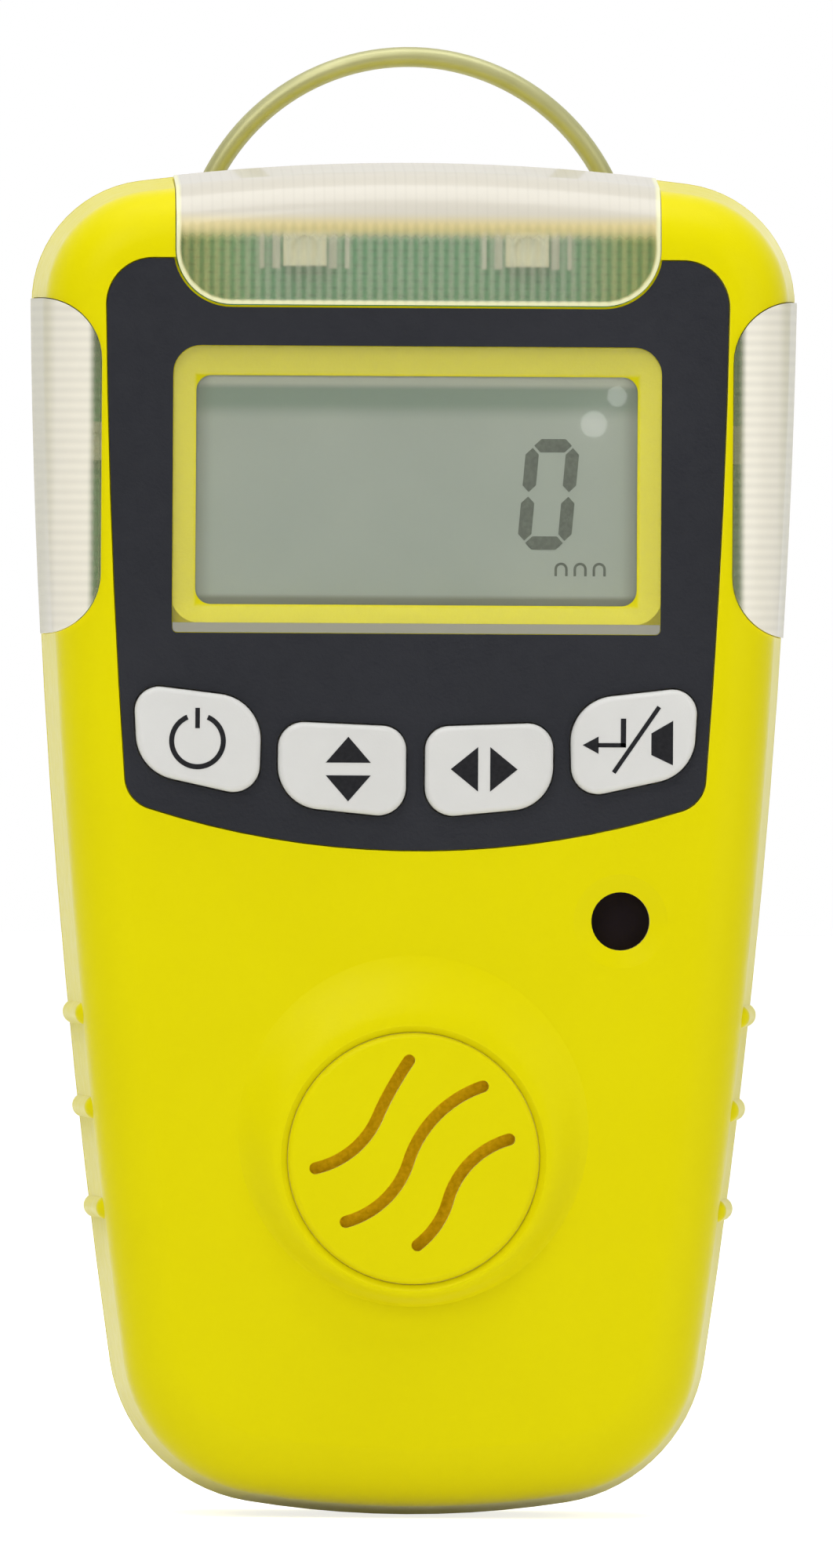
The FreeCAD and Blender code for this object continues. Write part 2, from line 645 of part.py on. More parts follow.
def rib_places(low, high):
    """Middles of the ribs that fit between low and high, at even pitch."""
    count = int((high - low) / LENS_RIB_PITCH) + 1
    return [(low + high) / 2 + (k - (count - 1) / 2) * LENS_RIB_PITCH for k in range(count)]


def ribbed(lens, slabs):
    """The lens with a shallow groove on its inner side in each slab."""
    return lens.cut(front_block(WALL - LENS_RIB_DEPTH, overrun=1.0).common(Part.makeCompound(slabs)))


def top_lens():
    half, reach = LENS_RIB_PITCH / 4, TOP_LENS_HALF - 1.2
    slabs = [box(x - half, x + half, FRONT_Y, LENS_BACK_Y - 1, *TOP_RIB_Z) for x in rib_places(-reach, reach)]
    return ribbed(clear_lens(top_lens_region(-FIT_GAP)), slabs)


def right_lens():
    half, (low, high) = LENS_RIB_PITCH / 4, SIDE_LENS_Z
    slabs = [box(SIDE_LENS_X + 1.0, SIDE_HIGH[0], FRONT_Y, LENS_BACK_Y - 1, z - half, z + half)
             for z in rib_places(low + 1.2, high - 1.2)]
    return ribbed(clear_lens(side_lens_region(-FIT_GAP)), slabs)


# ---- main board and what is on it ---------------------------------------------------
def main_board():
    y0, y1 = MAIN_BOARD_Y
    board = prism(outline(BOARD_INSET, y0), y1 - y0)
    board = board.common(box(-40, 40, y0 - 1, y1 + 1, MAIN_BOARD_BOTTOM, CASE_HEIGHT))
    cuts = both_sides(rod_y(CASE_SCREWS[0][0], CASE_SCREWS[0][1], CASE_BOSS_R + 0.3, y0 - 1, y1 + 1))
    for x, z in BOARD_SCREWS:
        cuts += both_sides(rod_y(x, z, 0.9, y0 - 1, y1 + 1))
    return cut_all(board, cuts)


def led(x, z, width, height, tall):
    y1 = MAIN_BOARD_Y[0]
    base = box(x - width / 2, x + width / 2, y1 - tall, y1, z - height / 2, z + height / 2)
    return base.cut(rod_y(x, z, min(width, height) * 0.36, y1 - tall - 1, y1 - tall + 0.2))


def top_leds():
    return Part.makeCompound([led(x, TOP_LED_Z, *TOP_LED_SIZE) for x in TOP_LED_X])


def side_leds():
    return Part.makeCompound(both_sides(led(SIDE_LED_X, SIDE_LED_Z, *SIDE_LED_SIZE)))


def board_chips():
    y = MAIN_BOARD_Y[1]
    chips = [box(x0, x1, y, y + tall, z0, z1) for x0, x1, z0, z1, tall in CHIPS]
    width, height, tall = RESISTOR_SIZE
    for k in range(RESISTOR_COUNT):
        x, z = RESISTOR_ROW[0] + RESISTOR_PITCH * k, RESISTOR_ROW[1]
        chips.append(box(x, x + width, y, y + tall, z, z + height))
    return Part.makeCompound(chips)


def small_screw(x, z, head_y0, head_y1, tip_y):
    """Pan head between head_y0 and head_y1, shank to tip_y, with a cross recess."""
    head = rod_y(x, z, 1.3, min(head_y0, head_y1), max(head_y0, head_y1))
    screw = head.fuse(rod_y(x, z, 0.6, min(tip_y, head_y0), max(tip_y, head_y0)))
    face = head_y1
    for slot in (box(x - 0.9, x + 0.9, face - 0.5, face + 0.5, z - 0.18, z + 0.18),
                 box(x - 0.18, x + 0.18, face - 0.5, face + 0.5, z - 0.9, z + 0.9)):
        screw = screw.cut(slot)
    return screw


def board_screws():
    y = MAIN_BOARD_Y[1]
    screws = []
    for x, z in BOARD_SCREWS:
        screws += both_sides(small_screw(x, z, y, y + 1.0, -11.0))
    return Part.makeCompound(screws)


def buzzer():
    can = rod_y(SOUND_X, SOUND_Z, BUZZER_R, -12.5, MAIN_BOARD_Y[0])
    return can.cut(rod_y(SOUND_X, SOUND_Z, 1.3, -13, -11.5))


def buzzer_membrane():
    return rod_y(SOUND_X, SOUND_Z, 4.0, INNER_FRONT_Y, INNER_FRONT_Y + 0.3)


def board_header():
    return box(-6.5, 6.5, MAIN_BOARD_Y[1], SENSOR_BOARD_Y[0], 41.6, 44.2)


# ---- sensor -------------------------------------------------------------------------
def s_slot(start, joint, end, first_bulge, second_bulge):
    """A slot of even width along two arcs; points are (x, z) from the cap's centre.

    A positive bulge is to the left of the way from start to end."""
    def arc(a, b, bulge):
        dx, dz = b[0] - a[0], b[1] - a[1]
        length = math.hypot(dx, dz)
        middle = ((a[0] + b[0]) / 2 - dz / length * bulge, (a[1] + b[1]) / 2 + dx / length * bulge)
        points = [V(x, BOSS_FACE_Y - 1, z + SENSOR_Z) for x, z in (a, middle, b)]
        return Part.Arc(*points).toShape()

    line = Part.Wire([arc(start, joint, first_bulge), arc(joint, end, second_bulge)])
    border = line.makeOffset2D(SLOT_WIDTH / 2, 0, False, False)
    return prism(border, CAP_THICK + 2)


def sensor_cap():
    cap = rod_y(0, SENSOR_Z, CAP_R, BOSS_FACE_Y, BOSS_FACE_Y + CAP_THICK)
    rim = [e for e in cap.Edges if all(abs(v.Point.y - BOSS_FACE_Y) < 1e-6 for v in e.Vertexes)]
    cap = cap.makeFillet(CAP_BEVEL, rim)
    slots = [s_slot((-0.4, 7.7), (-2.7, 3.6), (-7.7, -0.8), -0.1, 0.85),
             s_slot((5.4, 5.7), (-0.3, 0.05), (-5.3, -5.0), -0.92, 0.95),
             s_slot((7.5, 1.55), (2.65, -3.55), (0.35, -6.8), -0.95, 0.3)]
    return cut_all(cap, slots)


def dust_filter():
    y0 = BOSS_FACE_Y + CAP_THICK
    return rod_y(0, SENSOR_Z, FILTER_R, y0, y0 + 0.5)


def sensor_gasket():
    return ring_y(0, SENSOR_Z, 6.5, SENSOR_R, *SENSOR_GASKET_Y)


def sensor_pin_places():
    return [(5.5 * math.sin(math.radians(a)), SENSOR_Z + 5.5 * math.cos(math.radians(a)))
            for a in (0, 120, 240)]


def gas_sensor():
    can = rod_y(0, SENSOR_Z, SENSOR_R, *SENSOR_Y)
    can = can.cut(rod_y(0, SENSOR_Z, 1.6, SENSOR_Y[0] - 1, SENSOR_Y[0] + 1.5))
    return can.cut(ring_y(0, SENSOR_Z, SENSOR_R - 0.6, SENSOR_R + 1, 0.5, 1.3))


def sensor_pins():
    return Part.makeCompound([rod_y(x, z, 0.75, SENSOR_Y[1], SENSOR_BOARD_Y[1] - 0.2)
                              for x, z in sensor_pin_places()])


def sensor_sockets():
    return Part.makeCompound([ring_y(x, z, 0.8, 1.4, SENSOR_Y[1] + 0.3, SENSOR_BOARD_Y[0])
                              for x, z in sensor_pin_places()])


def sensor_board():
    y0, y1 = SENSOR_BOARD_Y
    board = prism(outline(BOARD_INSET, y0), y1 - y0)
    board = board.common(box(-40, 40, y0 - 1, y1 + 1, *SENSOR_BOARD_Z))
    tongue = box(-6.4, 6.4, y0, y1, 3.6, SENSOR_BOARD_Z[0] + 1)
    board = board.fuse(tongue).removeSplitter()
    cuts = [rod_y(x, z, 0.8, y0 - 1, y1 + 1) for x, z in sensor_pin_places()]
    for x, z in SENSOR_SCREWS:
        cuts += both_sides(rod_y(x, z, 0.9, y0 - 1, y1 + 1))
    return cut_all(board, cuts)


def sensor_board_screws():
    y = SENSOR_BOARD_Y[0]
    screws = []
    for x, z in SENSOR_SCREWS:
        screws += both_sides(small_screw(x, z, y, y - 1.0, 10.5))
    return Part.makeCompound(screws)


# ---- vibration motor ----------------------------------------------------------------
def vibration_motor():
    can = rod_z(MOTOR_X, MOTOR_Y, MOTOR_R, *MOTOR_Z)
    return can.cut(rod_z(MOTOR_X, MOTOR_Y, 0.45, MOTOR_Z[1] - 4, MOTOR_Z[1] + 1))


def motor_shaft():
    return rod_z(MOTOR_X, MOTOR_Y, 0.4, MOTOR_Z[1] - 3.5, MOTOR_Z[1] + 4.6)


def eccentric_weight():
    z0, z1 = MOTOR_Z[1] + 0.8, MOTOR_Z[1] + 4.3
    weight = rod_z(MOTOR_X, MOTOR_Y, 2.7, z0, z1)
    weight = weight.cut(box(MOTOR_X - 4, MOTOR_X - 0.8, MOTOR_Y - 4, MOTOR_Y + 4, z0 - 1, z1 + 1))
    return weight.cut(rod_z(MOTOR_X, MOTOR_Y, 0.4, z0 - 1, z1 + 1))


def motor_cradle():
    """Rubber saddle between the motor and the sensor board."""
    z0, z1 = MOTOR_Z[0] + 1.5, MOTOR_Z[1] - 1.5
    saddle = box(MOTOR_X - 3.9, MOTOR_X + 3.9, MOTOR_Y - 0.9, SENSOR_BOARD_Y[0], z0, z1)
    return saddle.cut(rod_z(MOTOR_X, MOTOR_Y, MOTOR_R + 0.05, z0 - 1, z1 + 1))


# ---- battery and charging -----------------------------------------------------------
def battery_pack():
    return rounded_box(-BATTERY_HALF, BATTERY_HALF, *BATTERY_Y, *BATTERY_Z, 2.0, V(0, 0, 1))


def battery_pad():
    return box(-14, 14, BATTERY_Y[1], INNER_REAR_Y, BATTERY_Z[0] + 4, BATTERY_Z[1] - 4)


def battery_connector():
    return box(*BATTERY_CONNECTOR)


def battery_lead(x):
    middle_y = (BATTERY_Y[0] + BATTERY_Y[1]) / 2
    connector_y = BATTERY_CONNECTOR[3]
    path = bent_path([V(x, middle_y, BATTERY_Z[1]), V(x, middle_y, LEAD_Z), V(x, connector_y, LEAD_Z)], [2.0])
    return round_bar(path, LEAD_R)


def charge_socket():
    shell = box(-3.9, 3.9, SENSOR_BOARD_Y[1], SENSOR_BOARD_Y[1] + 3.0, 3.6, 9.2)
    return shell.cut(box(-3.5, 3.5, SENSOR_BOARD_Y[1] + 0.4, SENSOR_BOARD_Y[1] + 2.6, 3.0, 8.6))


def port_plug():
    """Rubber cover of the charging port: a plate that turns about its rolled end, and a stub."""
    half_x, half_y = PORT_HALF
    z0, z1 = PORT_Z
    plate = rounded_box(-half_x, half_x, PORT_Y - half_y, PORT_Y + half_y, z0, z1, 2.3, V(0, 0, 1))
    plate = plate.common(box(PLUG_HINGE_X, half_x, PORT_Y - half_y, PORT_Y + half_y, z0, z1))
    barrel = rod_y(PLUG_HINGE_X, PLUG_HINGE_Z, PLUG_BARREL_R,
                   PORT_Y - PLUG_BARREL_HALF, PORT_Y + PLUG_BARREL_HALF)
    stub = rounded_box(-3.2, 3.5, PORT_Y - 1.2, PORT_Y + 1.2, z1 - 0.1, z1 + 1.4, 1.0, V(0, 0, 1))
    return plate.multiFuse([barrel, stub])


# ---- belt clip ----------------------------------------------------------------------
def clip_plate_blank(y, depth, grow):
    low, high = CLIP_PLATE_Z
    half = CLIP_PLATE_HALF
    return prism(rectangle(2 * (half + grow), high - low + 2 * grow, 2.0, (low + high) / 2, y), depth)


def clip_plate():
    y0, y1 = CLIP_PLATE_Y
    plate = clip_plate_blank(y0, y1 - y0, 0)
    ear_r = 2.3
    ear = rod_x(PIN_Y, PIN_Z, ear_r, CLIP_PLATE_HALF - 0.9, CLIP_PLATE_HALF)
    foot = box(CLIP_PLATE_HALF - 0.9, CLIP_PLATE_HALF, y0, PIN_Y, PIN_Z - ear_r, PIN_Z + ear_r)
    plate = fuse_all(plate, both_sides(ear.fuse(foot)))
    plate = plate.cut(rod_x(PIN_Y, PIN_Z, PIN_R, -20, 20))
    return plate.cut(rod_y(0, CLIP_SCREW_Z, 1.3, y0 - 1, y1 + 1))


def jaw_notches():
    """V notches between the teeth of the jaw's lip."""
    tooth_pitch, half, depth = 2.1, 0.8, 0.9
    lip_y, lip_z = JAW_LIP
    notches = []
    for k in range(6):
        x = (k - 2.5) * tooth_pitch
        corners = [V(x - half, lip_y - 1, lip_z - 2), V(x + half, lip_y - 1, lip_z - 2),
                   V(x, lip_y + depth, lip_z - 2)]
        notches.append(Part.Face(Part.makePolygon(corners + corners[:1])).extrude(V(0, 0, 4)))
    return notches


def thumb_grooves():
    """Four grooves across the outer side of the jaw's thumb end."""
    rise = math.atan2(JAW_TIP[0] - JAW_Y, JAW_TIP[1] - JAW_BEND_Z)
    depth, half_width, first, pitch = 0.22, 0.2, 3.4, 1.4
    out = JAW_THICK / 2 - depth
    grooves = []
    for k in range(4):
        along = first + pitch * k
        groove = box(-JAW_HALF - 1, JAW_HALF + 1, 0, 2, -half_width, half_width)
        groove.rotate(V(0, 0, 0), V(1, 0, 0), -math.degrees(rise))
        groove.translate(V(0, JAW_Y + along * math.sin(rise) + out * math.cos(rise),
                           JAW_BEND_Z + along * math.cos(rise) - out * math.sin(rise)))
        grooves.append(groove)
    return grooves


def clip_jaw():
    """Sprung lever: toothed lip below, flat bar along the belt, thumb end above the pin."""
    path = bent_path([V(-JAW_HALF, *JAW_LIP), V(-JAW_HALF, JAW_Y, JAW_LIP[1]),
                      V(-JAW_HALF, JAW_Y, JAW_BEND_Z), V(-JAW_HALF, *JAW_TIP)], [2.0, 6.0])
    border = path.makeOffset2D(JAW_THICK / 2, 0, False, False)
    bar = Part.Face(border).extrude(V(2 * JAW_HALF, 0, 0))
    inner_x, outer_x, flange_r = 5.2, 6.1, 2.4
    flange = rod_x(PIN_Y, PIN_Z, flange_r, inner_x, outer_x)
    flange = flange.fuse(box(inner_x, outer_x, PIN_Y, JAW_Y, PIN_Z - flange_r, PIN_Z + flange_r))
    jaw = fuse_all(bar, both_sides(flange))
    access = rod_y(0, CLIP_SCREW_Z, 2.2, CLIP_PLATE_Y[0], JAW_Y + JAW_THICK)
    pin_hole = rod_x(PIN_Y, PIN_Z, PIN_R + 0.05, -JAW_HALF - 1, JAW_HALF + 1)
    return cut_all(jaw, [pin_hole, access] + jaw_notches() + thumb_grooves())


def clip_pin():
    pin = rod_x(PIN_Y, PIN_Z, PIN_R, -CLIP_PLATE_HALF - 0.2, CLIP_PLATE_HALF + 0.2)
    heads = both_sides(rod_x(PIN_Y, PIN_Z, PIN_R + 0.5, CLIP_PLATE_HALF, CLIP_PLATE_HALF + 0.4))
    return fuse_all(pin, heads)


def clip_spring():
    """Torsion spring round the pin, its turns closed up, one leg on the plate and one on the jaw."""
    coil_r, spring_r, turns = 2.5, 0.3, 7
    pitch = 2 * spring_r - 0.03
    half = pitch * (turns - 1) / 2
    rings = []
    for k in range(turns):
        rings.append(Part.makeTorus(coil_r, spring_r, V(-half + k * pitch, PIN_Y, PIN_Z), V(1, 0, 0)))
    leg = 6.5
    knob_r = spring_r + 0.03
    for x, y in ((-half, PIN_Y - coil_r), (half, PIN_Y + coil_r)):
        rings.append(Part.makeSphere(knob_r, V(x, y, PIN_Z)))
        rings.append(Part.makeCylinder(spring_r, leg, V(x, y, PIN_Z), V(0, 0, 1)))
    return rings[0].multiFuse(rings[1:])


def clip_screw():
    y1 = CLIP_PLATE_Y[1]
    head = rod_y(0, CLIP_SCREW_Z, 2.3, y1, y1 + 1.3)
    rim = [e for e in head.Edges if all(abs(v.Point.y - y1 - 1.3) < 1e-6 for v in e.Vertexes)]
    screw = head.makeFillet(0.5, rim).fuse(rod_y(0, CLIP_SCREW_Z, 1.2, 10.0, y1 + 0.1))
    for slot in (box(-1.4, 1.4, y1 + 0.6, y1 + 2, CLIP_SCREW_Z - 0.25, CLIP_SCREW_Z + 0.25),
                 box(-0.25, 0.25, y1 + 0.6, y1 + 2, CLIP_SCREW_Z - 1.4, CLIP_SCREW_Z + 1.4)):
        screw = screw.cut(slot)
    return screw


# ---- bail ---------------------------------------------------------------------------
def hanging_bail():
    """Round wire in a half circle, its ends turned in towards each other in the lugs."""
    foot_z = BAIL_AXIS_Z + BAIL_BEND_R
    bend = BAIL_BEND_R * math.sin(math.radians(45))
    end_x = LUG_X[0] + 0.5

    def at(x, z):
        return V(x, BAIL_Y, z)

    def bend_arc(side):
        middle = at(side * (BAIL_R - BAIL_BEND_R + bend), foot_z - bend)
        return Part.Arc(at(side * (BAIL_R - BAIL_BEND_R), BAIL_AXIS_Z), middle, at(side * BAIL_R, foot_z))

    path = Part.Wire([Part.makeLine(at(-end_x, BAIL_AXIS_Z), at(-BAIL_R + BAIL_BEND_R, BAIL_AXIS_Z)),
                      bend_arc(-1).toShape(),
                      Part.Arc(at(-BAIL_R, foot_z), at(0, foot_z + BAIL_R), at(BAIL_R, foot_z)).toShape(),
                      bend_arc(1).toShape(),
                      Part.makeLine(at(BAIL_R - BAIL_BEND_R, BAIL_AXIS_Z), at(end_x, BAIL_AXIS_Z))])
    return round_bar(path, WIRE_R)


# ---- the whole object ---------------------------------------------------------------
def all_pieces():
    pieces = {
        "front_cover": front_cover(),
        "rear_cover": rear_cover(),
        "case_gasket": case_gasket(),
        "case_screws": case_screws(),
        "rear_label": label_blank(REAR_Y - 0.3, 0.25, 0),
        "control_panel": control_panel(),
        "display_window": display_window(),
        "lcd_glass": lcd_glass(),
        "lcd_frame": lcd_frame(),
        "lcd_backlight": lcd_backlight(),
        "lcd_connector": lcd_connector(),
        "tact_switches": tact_switches(),
        "top_lens": top_lens(),
        "top_leds": top_leds(),
        "side_leds": side_leds(),
        "main_board": main_board(),
        "board_chips": board_chips(),
        "board_screws": board_screws(),
        "board_header": board_header(),
        "buzzer": buzzer(),
        "buzzer_membrane": buzzer_membrane(),
        "sensor_cap": sensor_cap(),
        "dust_filter": dust_filter(),
        "sensor_gasket": sensor_gasket(),
        "gas_sensor": gas_sensor(),
        "sensor_pins": sensor_pins(),
        "sensor_sockets": sensor_sockets(),
        "sensor_board": sensor_board(),
        "sensor_board_screws": sensor_board_screws(),
        "vibration_motor": vibration_motor(),
        "motor_shaft": motor_shaft(),
        "eccentric_weight": eccentric_weight(),
        "motor_cradle": motor_cradle(),
        "battery_pack": battery_pack(),
        "battery_pad": battery_pad(),
        "battery_connector": battery_connector(),
        "battery_lead_red": battery_lead(LEAD_X[0]),
        "battery_lead_black": battery_lead(LEAD_X[1]),
        "charge_socket": charge_socket(),
        "port_plug": port_plug(),
        "clip_plate": clip_plate(),
        "clip_jaw": clip_jaw(),
        "clip_pin": clip_pin(),
        "clip_spring": clip_spring(),
        "clip_screw": clip_screw(),
        "hanging_bail": hanging_bail(),
    }
    pieces["right_lens"] = right_lens()
    pieces["left_lens"] = mirrored(pieces["right_lens"])
    for name, corners, middle in button_outlines():
        pieces[name + "_button"] = button_cap(corners)
        pieces[name + "_plunger"] = switch_plunger(middle)
    return pieces


# The front-most face is the sensor boss, and the rear-most edge is the jaw's thumb end.
Y_SHIFT = -(BOSS_FACE_Y + JAW_TIP[0] + JAW_THICK / 2) / 2

os.makedirs("parts", exist_ok=True)
for node, shape in all_pieces().items():
    shape.translate(V(0, Y_SHIFT, 0))
    shape.exportStep("parts/" + node + ".step")
    print(node, shape.isValid(), len(shape.Solids), round(shape.Volume, 2))
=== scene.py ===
import json
import math

import bmesh
import bpy
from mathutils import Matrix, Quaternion, Vector


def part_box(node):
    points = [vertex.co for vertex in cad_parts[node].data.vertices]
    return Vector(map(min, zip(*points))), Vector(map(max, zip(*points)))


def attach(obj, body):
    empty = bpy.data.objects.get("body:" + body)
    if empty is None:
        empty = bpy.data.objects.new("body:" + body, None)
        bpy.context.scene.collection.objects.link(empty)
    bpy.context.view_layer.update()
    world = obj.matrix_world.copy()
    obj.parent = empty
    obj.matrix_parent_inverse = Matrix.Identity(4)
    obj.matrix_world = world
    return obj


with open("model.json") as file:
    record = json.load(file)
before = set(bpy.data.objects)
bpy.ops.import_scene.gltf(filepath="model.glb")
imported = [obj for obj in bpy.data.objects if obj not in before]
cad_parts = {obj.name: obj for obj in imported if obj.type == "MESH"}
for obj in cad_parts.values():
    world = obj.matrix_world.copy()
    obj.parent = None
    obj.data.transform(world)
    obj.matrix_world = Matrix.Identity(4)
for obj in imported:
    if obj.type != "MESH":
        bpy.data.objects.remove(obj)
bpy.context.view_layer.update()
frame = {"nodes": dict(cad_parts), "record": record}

MM = 0.001
NODES = frame["nodes"]
PRINT_THICK = 0.03 * MM         # ink and printed film

# Places of the case that the materials follow, in millimetres.
BEZEL_HALF, BEZEL_Z = (17.35, 9.0), 80.85
LENS_HALF, LENS_LOW_Z, LENS_CORNER_R = 19.1, 95.35, 4.5
RIB_PITCH = 0.8
PANE_SLIVER_Z = 70.4            # under the bezel the pane lies on its adhesive
TOP_LED_X = (-8.8, 8.7)
LED_PADS = ((2.25, 0.6), (3.35, 0.35))      # distance from the LED's middle, and width
LED_PAD_Z = (98.3, 101.4)
LED_PAD_THICK = 0.2
NOISE_MIDDLE = (0.3, 0.7)       # most values of a noise texture are between these

GLINTS = {"glint_low": (14.0, 86.4, 1.05), "glint_high": (15.8, 88.6, 0.8)}     # x, z and radius
GLINT_AWAY = 25.0               # from the window to the lamp that it mirrors
GLINT_POWER = 0.000035          # watts for a radius of 1 mm

# Each softbox: where it is, its width and height in metres, and its power in watts.
SOFTBOXES = {
    "key_light": ((-0.35, -0.75, 0.70), 0.6, 0.6, 4.1),
    "fill_light": ((0.65, -0.6, 0.25), 0.6, 0.8, 1.9),
    "top_light": ((0, -0.10, 0.8), 0.8, 0.5, 4.2),
}

CAMERA_AZIMUTH, CAMERA_ELEVATION = -1.5, 0.5


def low(node):
    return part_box(node)[0]


# ---- shader helpers -----------------------------------------------------------------
class Shader:
    """A material's node tree, with the few node kinds that the materials here use."""

    def __init__(self, name):
        self.material = bpy.data.materials.new(name)
        self.material.use_nodes = True
        self.tree = self.material.node_tree
        self.tree.nodes.clear()
        self.output = self.tree.nodes.new("ShaderNodeOutputMaterial")
        self.place = self.tree.nodes.new("ShaderNodeTexCoord").outputs["Object"]

    def node(self, kind, **settings):
        made = self.tree.nodes.new(kind)
        for key, value in settings.items():
            setattr(made, key, value)
        return made

    def link(self, start, end):
        self.tree.links.new(start, end)

    def principled(self, color, roughness, **sockets):
        shader = self.node("ShaderNodeBsdfPrincipled")
        shader.inputs["Base Color"].default_value = (*color, 1.0)
        shader.inputs["Roughness"].default_value = roughness
        for key, value in sockets.items():
            shader.inputs[key.replace("_", " ")].default_value = value
        self.link(shader.outputs["BSDF"], self.output.inputs["Surface"])
        return shader

    def scaled_place(self, stretch):
        mapping = self.node("ShaderNodeMapping")
        mapping.inputs["Scale"].default_value = stretch
        self.link(self.place, mapping.inputs["Vector"])
        return mapping.outputs["Vector"]

    def noise(self, scale, detail=3.0, stretch=None):
        noise = self.node("ShaderNodeTexNoise")
        noise.inputs["Scale"].default_value = scale
        noise.inputs["Detail"].default_value = detail
        self.link(self.scaled_place(stretch) if stretch else self.place, noise.inputs["Vector"])
        return noise.outputs["Fac"]

    def between(self, factor, first, second):
        """A colour that runs from first to second as factor runs over its usual middle part."""
        ramp = self.node("ShaderNodeValToRGB")
        for element, position, color in zip(ramp.color_ramp.elements, NOISE_MIDDLE, (first, second)):
            element.position = position
            element.color = (*color, 1.0)
        self.link(factor, ramp.inputs["Fac"])
        return ramp.outputs["Color"]

    def ranged(self, factor, lowest, highest):
        """A number that runs from lowest to highest as factor runs over its usual middle part."""
        ranged = self.node("ShaderNodeMapRange")
        self.set_range(ranged, (*NOISE_MIDDLE, lowest, highest))
        self.link(factor, ranged.inputs["Value"])
        return ranged.outputs["Result"]

    def set_range(self, ranged, ends):
        for name, number in zip(("From Min", "From Max", "To Min", "To Max"), ends):
            ranged.inputs[name].default_value = number

    def bump(self, shader, height, distance, strength=1.0):
        bump = self.node("ShaderNodeBump")
        bump.inputs["Strength"].default_value = strength
        bump.inputs["Distance"].default_value = distance
        self.link(height, bump.inputs["Height"])
        self.link(bump.outputs["Normal"], shader.inputs["Normal"])

    def maths(self, operation, first, second=0.0):
        """One sum; each of the two values is a number or another node's output."""
        made = self.node("ShaderNodeMath", operation=operation)
        for socket, value in zip(made.inputs, (first, second)):
            if isinstance(value, (int, float)):
                socket.default_value = value
            else:
                self.link(value, socket)
        return made.outputs["Value"]

    def axis(self, letter):
        """Distance along one axis in millimetres, from the part's origin."""
        split = self.node("ShaderNodeSeparateXYZ")
        self.link(self.place, split.inputs["Vector"])
        return self.maths("DIVIDE", split.outputs[letter], MM)

    def step(self, value, start, end, before, after):
        """Runs smoothly from before to after as value goes from start to end."""
        ranged = self.node("ShaderNodeMapRange", interpolation_type="SMOOTHSTEP")
        self.set_range(ranged, (start, end, before, after))
        self.link(value, ranged.inputs["Value"])
        return ranged.outputs["Result"]

    def ribs(self, value, pitch):
        """A wave from 0 to 1 that repeats at every pitch of value."""
        wave = self.maths("SINE", self.maths("MULTIPLY", value, 2 * math.pi / pitch))
        return self.maths("MULTIPLY", self.maths("ADD", wave, 1.0), 0.5)

    def blend(self, factor, first, second):
        """Mix of two colours; either one is a colour or another node's output."""
        mix = self.node("ShaderNodeMix", data_type="RGBA")
        self.link(factor, mix.inputs[0])
        for socket, value in ((mix.inputs[6], first), (mix.inputs[7], second)):
            if isinstance(value, tuple):
                socket.default_value = (*value, 1.0)
            else:
                self.link(value, socket)
        return mix.outputs[2]

    def mixed(self, factor, first, second):
        mix = self.node("ShaderNodeMixShader")
        self.link(factor, mix.inputs["Fac"])
        self.link(first, mix.inputs[1])
        self.link(second, mix.inputs[2])
        self.link(mix.outputs["Shader"], self.output.inputs["Surface"])
        return mix.outputs["Shader"]

    def lets_lamps_through(self, surface, tint):
        """Rays from lamps pass straight through, so that what is behind clear plastic is lit."""
        light_path = self.node("ShaderNodeLightPath")
        clear = self.node("ShaderNodeBsdfTransparent")
        clear.inputs["Color"].default_value = (*tint, 1.0)
        self.mixed(light_path.outputs["Is Shadow Ray"], surface, clear.outputs["BSDF"])


def moulded_plastic(name, color, darker, roughness, grain=0.012, grain_scale=5200, gloss=0.5, sheen=0.0):
    """Satin injection-moulded plastic: fine spark-eroded grain and slight unevenness of colour."""
    s = Shader(name)
    shader = s.principled(color, roughness, Specular_IOR_Level=gloss, Sheen_Weight=sheen, Sheen_Roughness=0.3)
    s.link(s.between(s.noise(60, 4), darker, color), shader.inputs["Base Color"])
    s.link(s.ranged(s.noise(900, 2), roughness - 0.05, roughness + 0.06), shader.inputs["Roughness"])
    s.bump(shader, s.noise(grain_scale, 2), grain * MM)
    return s.material


def window_pane():
    """Clear polycarbonate, milky along the bezel and grey where its adhesive shows below that."""
    s = Shader("window_clear")
    clear = s.principled((0.97, 0.98, 0.96), 0.03, Transmission_Weight=1.0, IOR=1.3)
    s.bump(clear, s.noise(700, 2), 0.002 * MM)
    milky = s.principled((0.70, 0.66, 0.36), 0.4)
    across = s.maths("SUBTRACT", s.maths("ABSOLUTE", s.axis("X")), BEZEL_HALF[0])
    up = s.maths("SUBTRACT", s.axis("Z"), BEZEL_Z)
    along = s.maths("SUBTRACT", s.maths("ABSOLUTE", up), BEZEL_HALF[1])
    border = s.step(s.maths("MAXIMUM", across, along), -0.1, 0.3, 0.0, 0.12)
    framed = s.mixed(border, clear.outputs["BSDF"], milky.outputs["BSDF"])
    adhesive = s.principled((0.30, 0.30, 0.28), 0.5)
    below = s.step(s.axis("Z"), PANE_SLIVER_Z + 0.05, PANE_SLIVER_Z - 0.05, 0.0, 0.8)
    surface = s.mixed(below, framed, adhesive.outputs["BSDF"])
    s.lets_lamps_through(surface, (0.95, 0.96, 0.94))
    return s.material


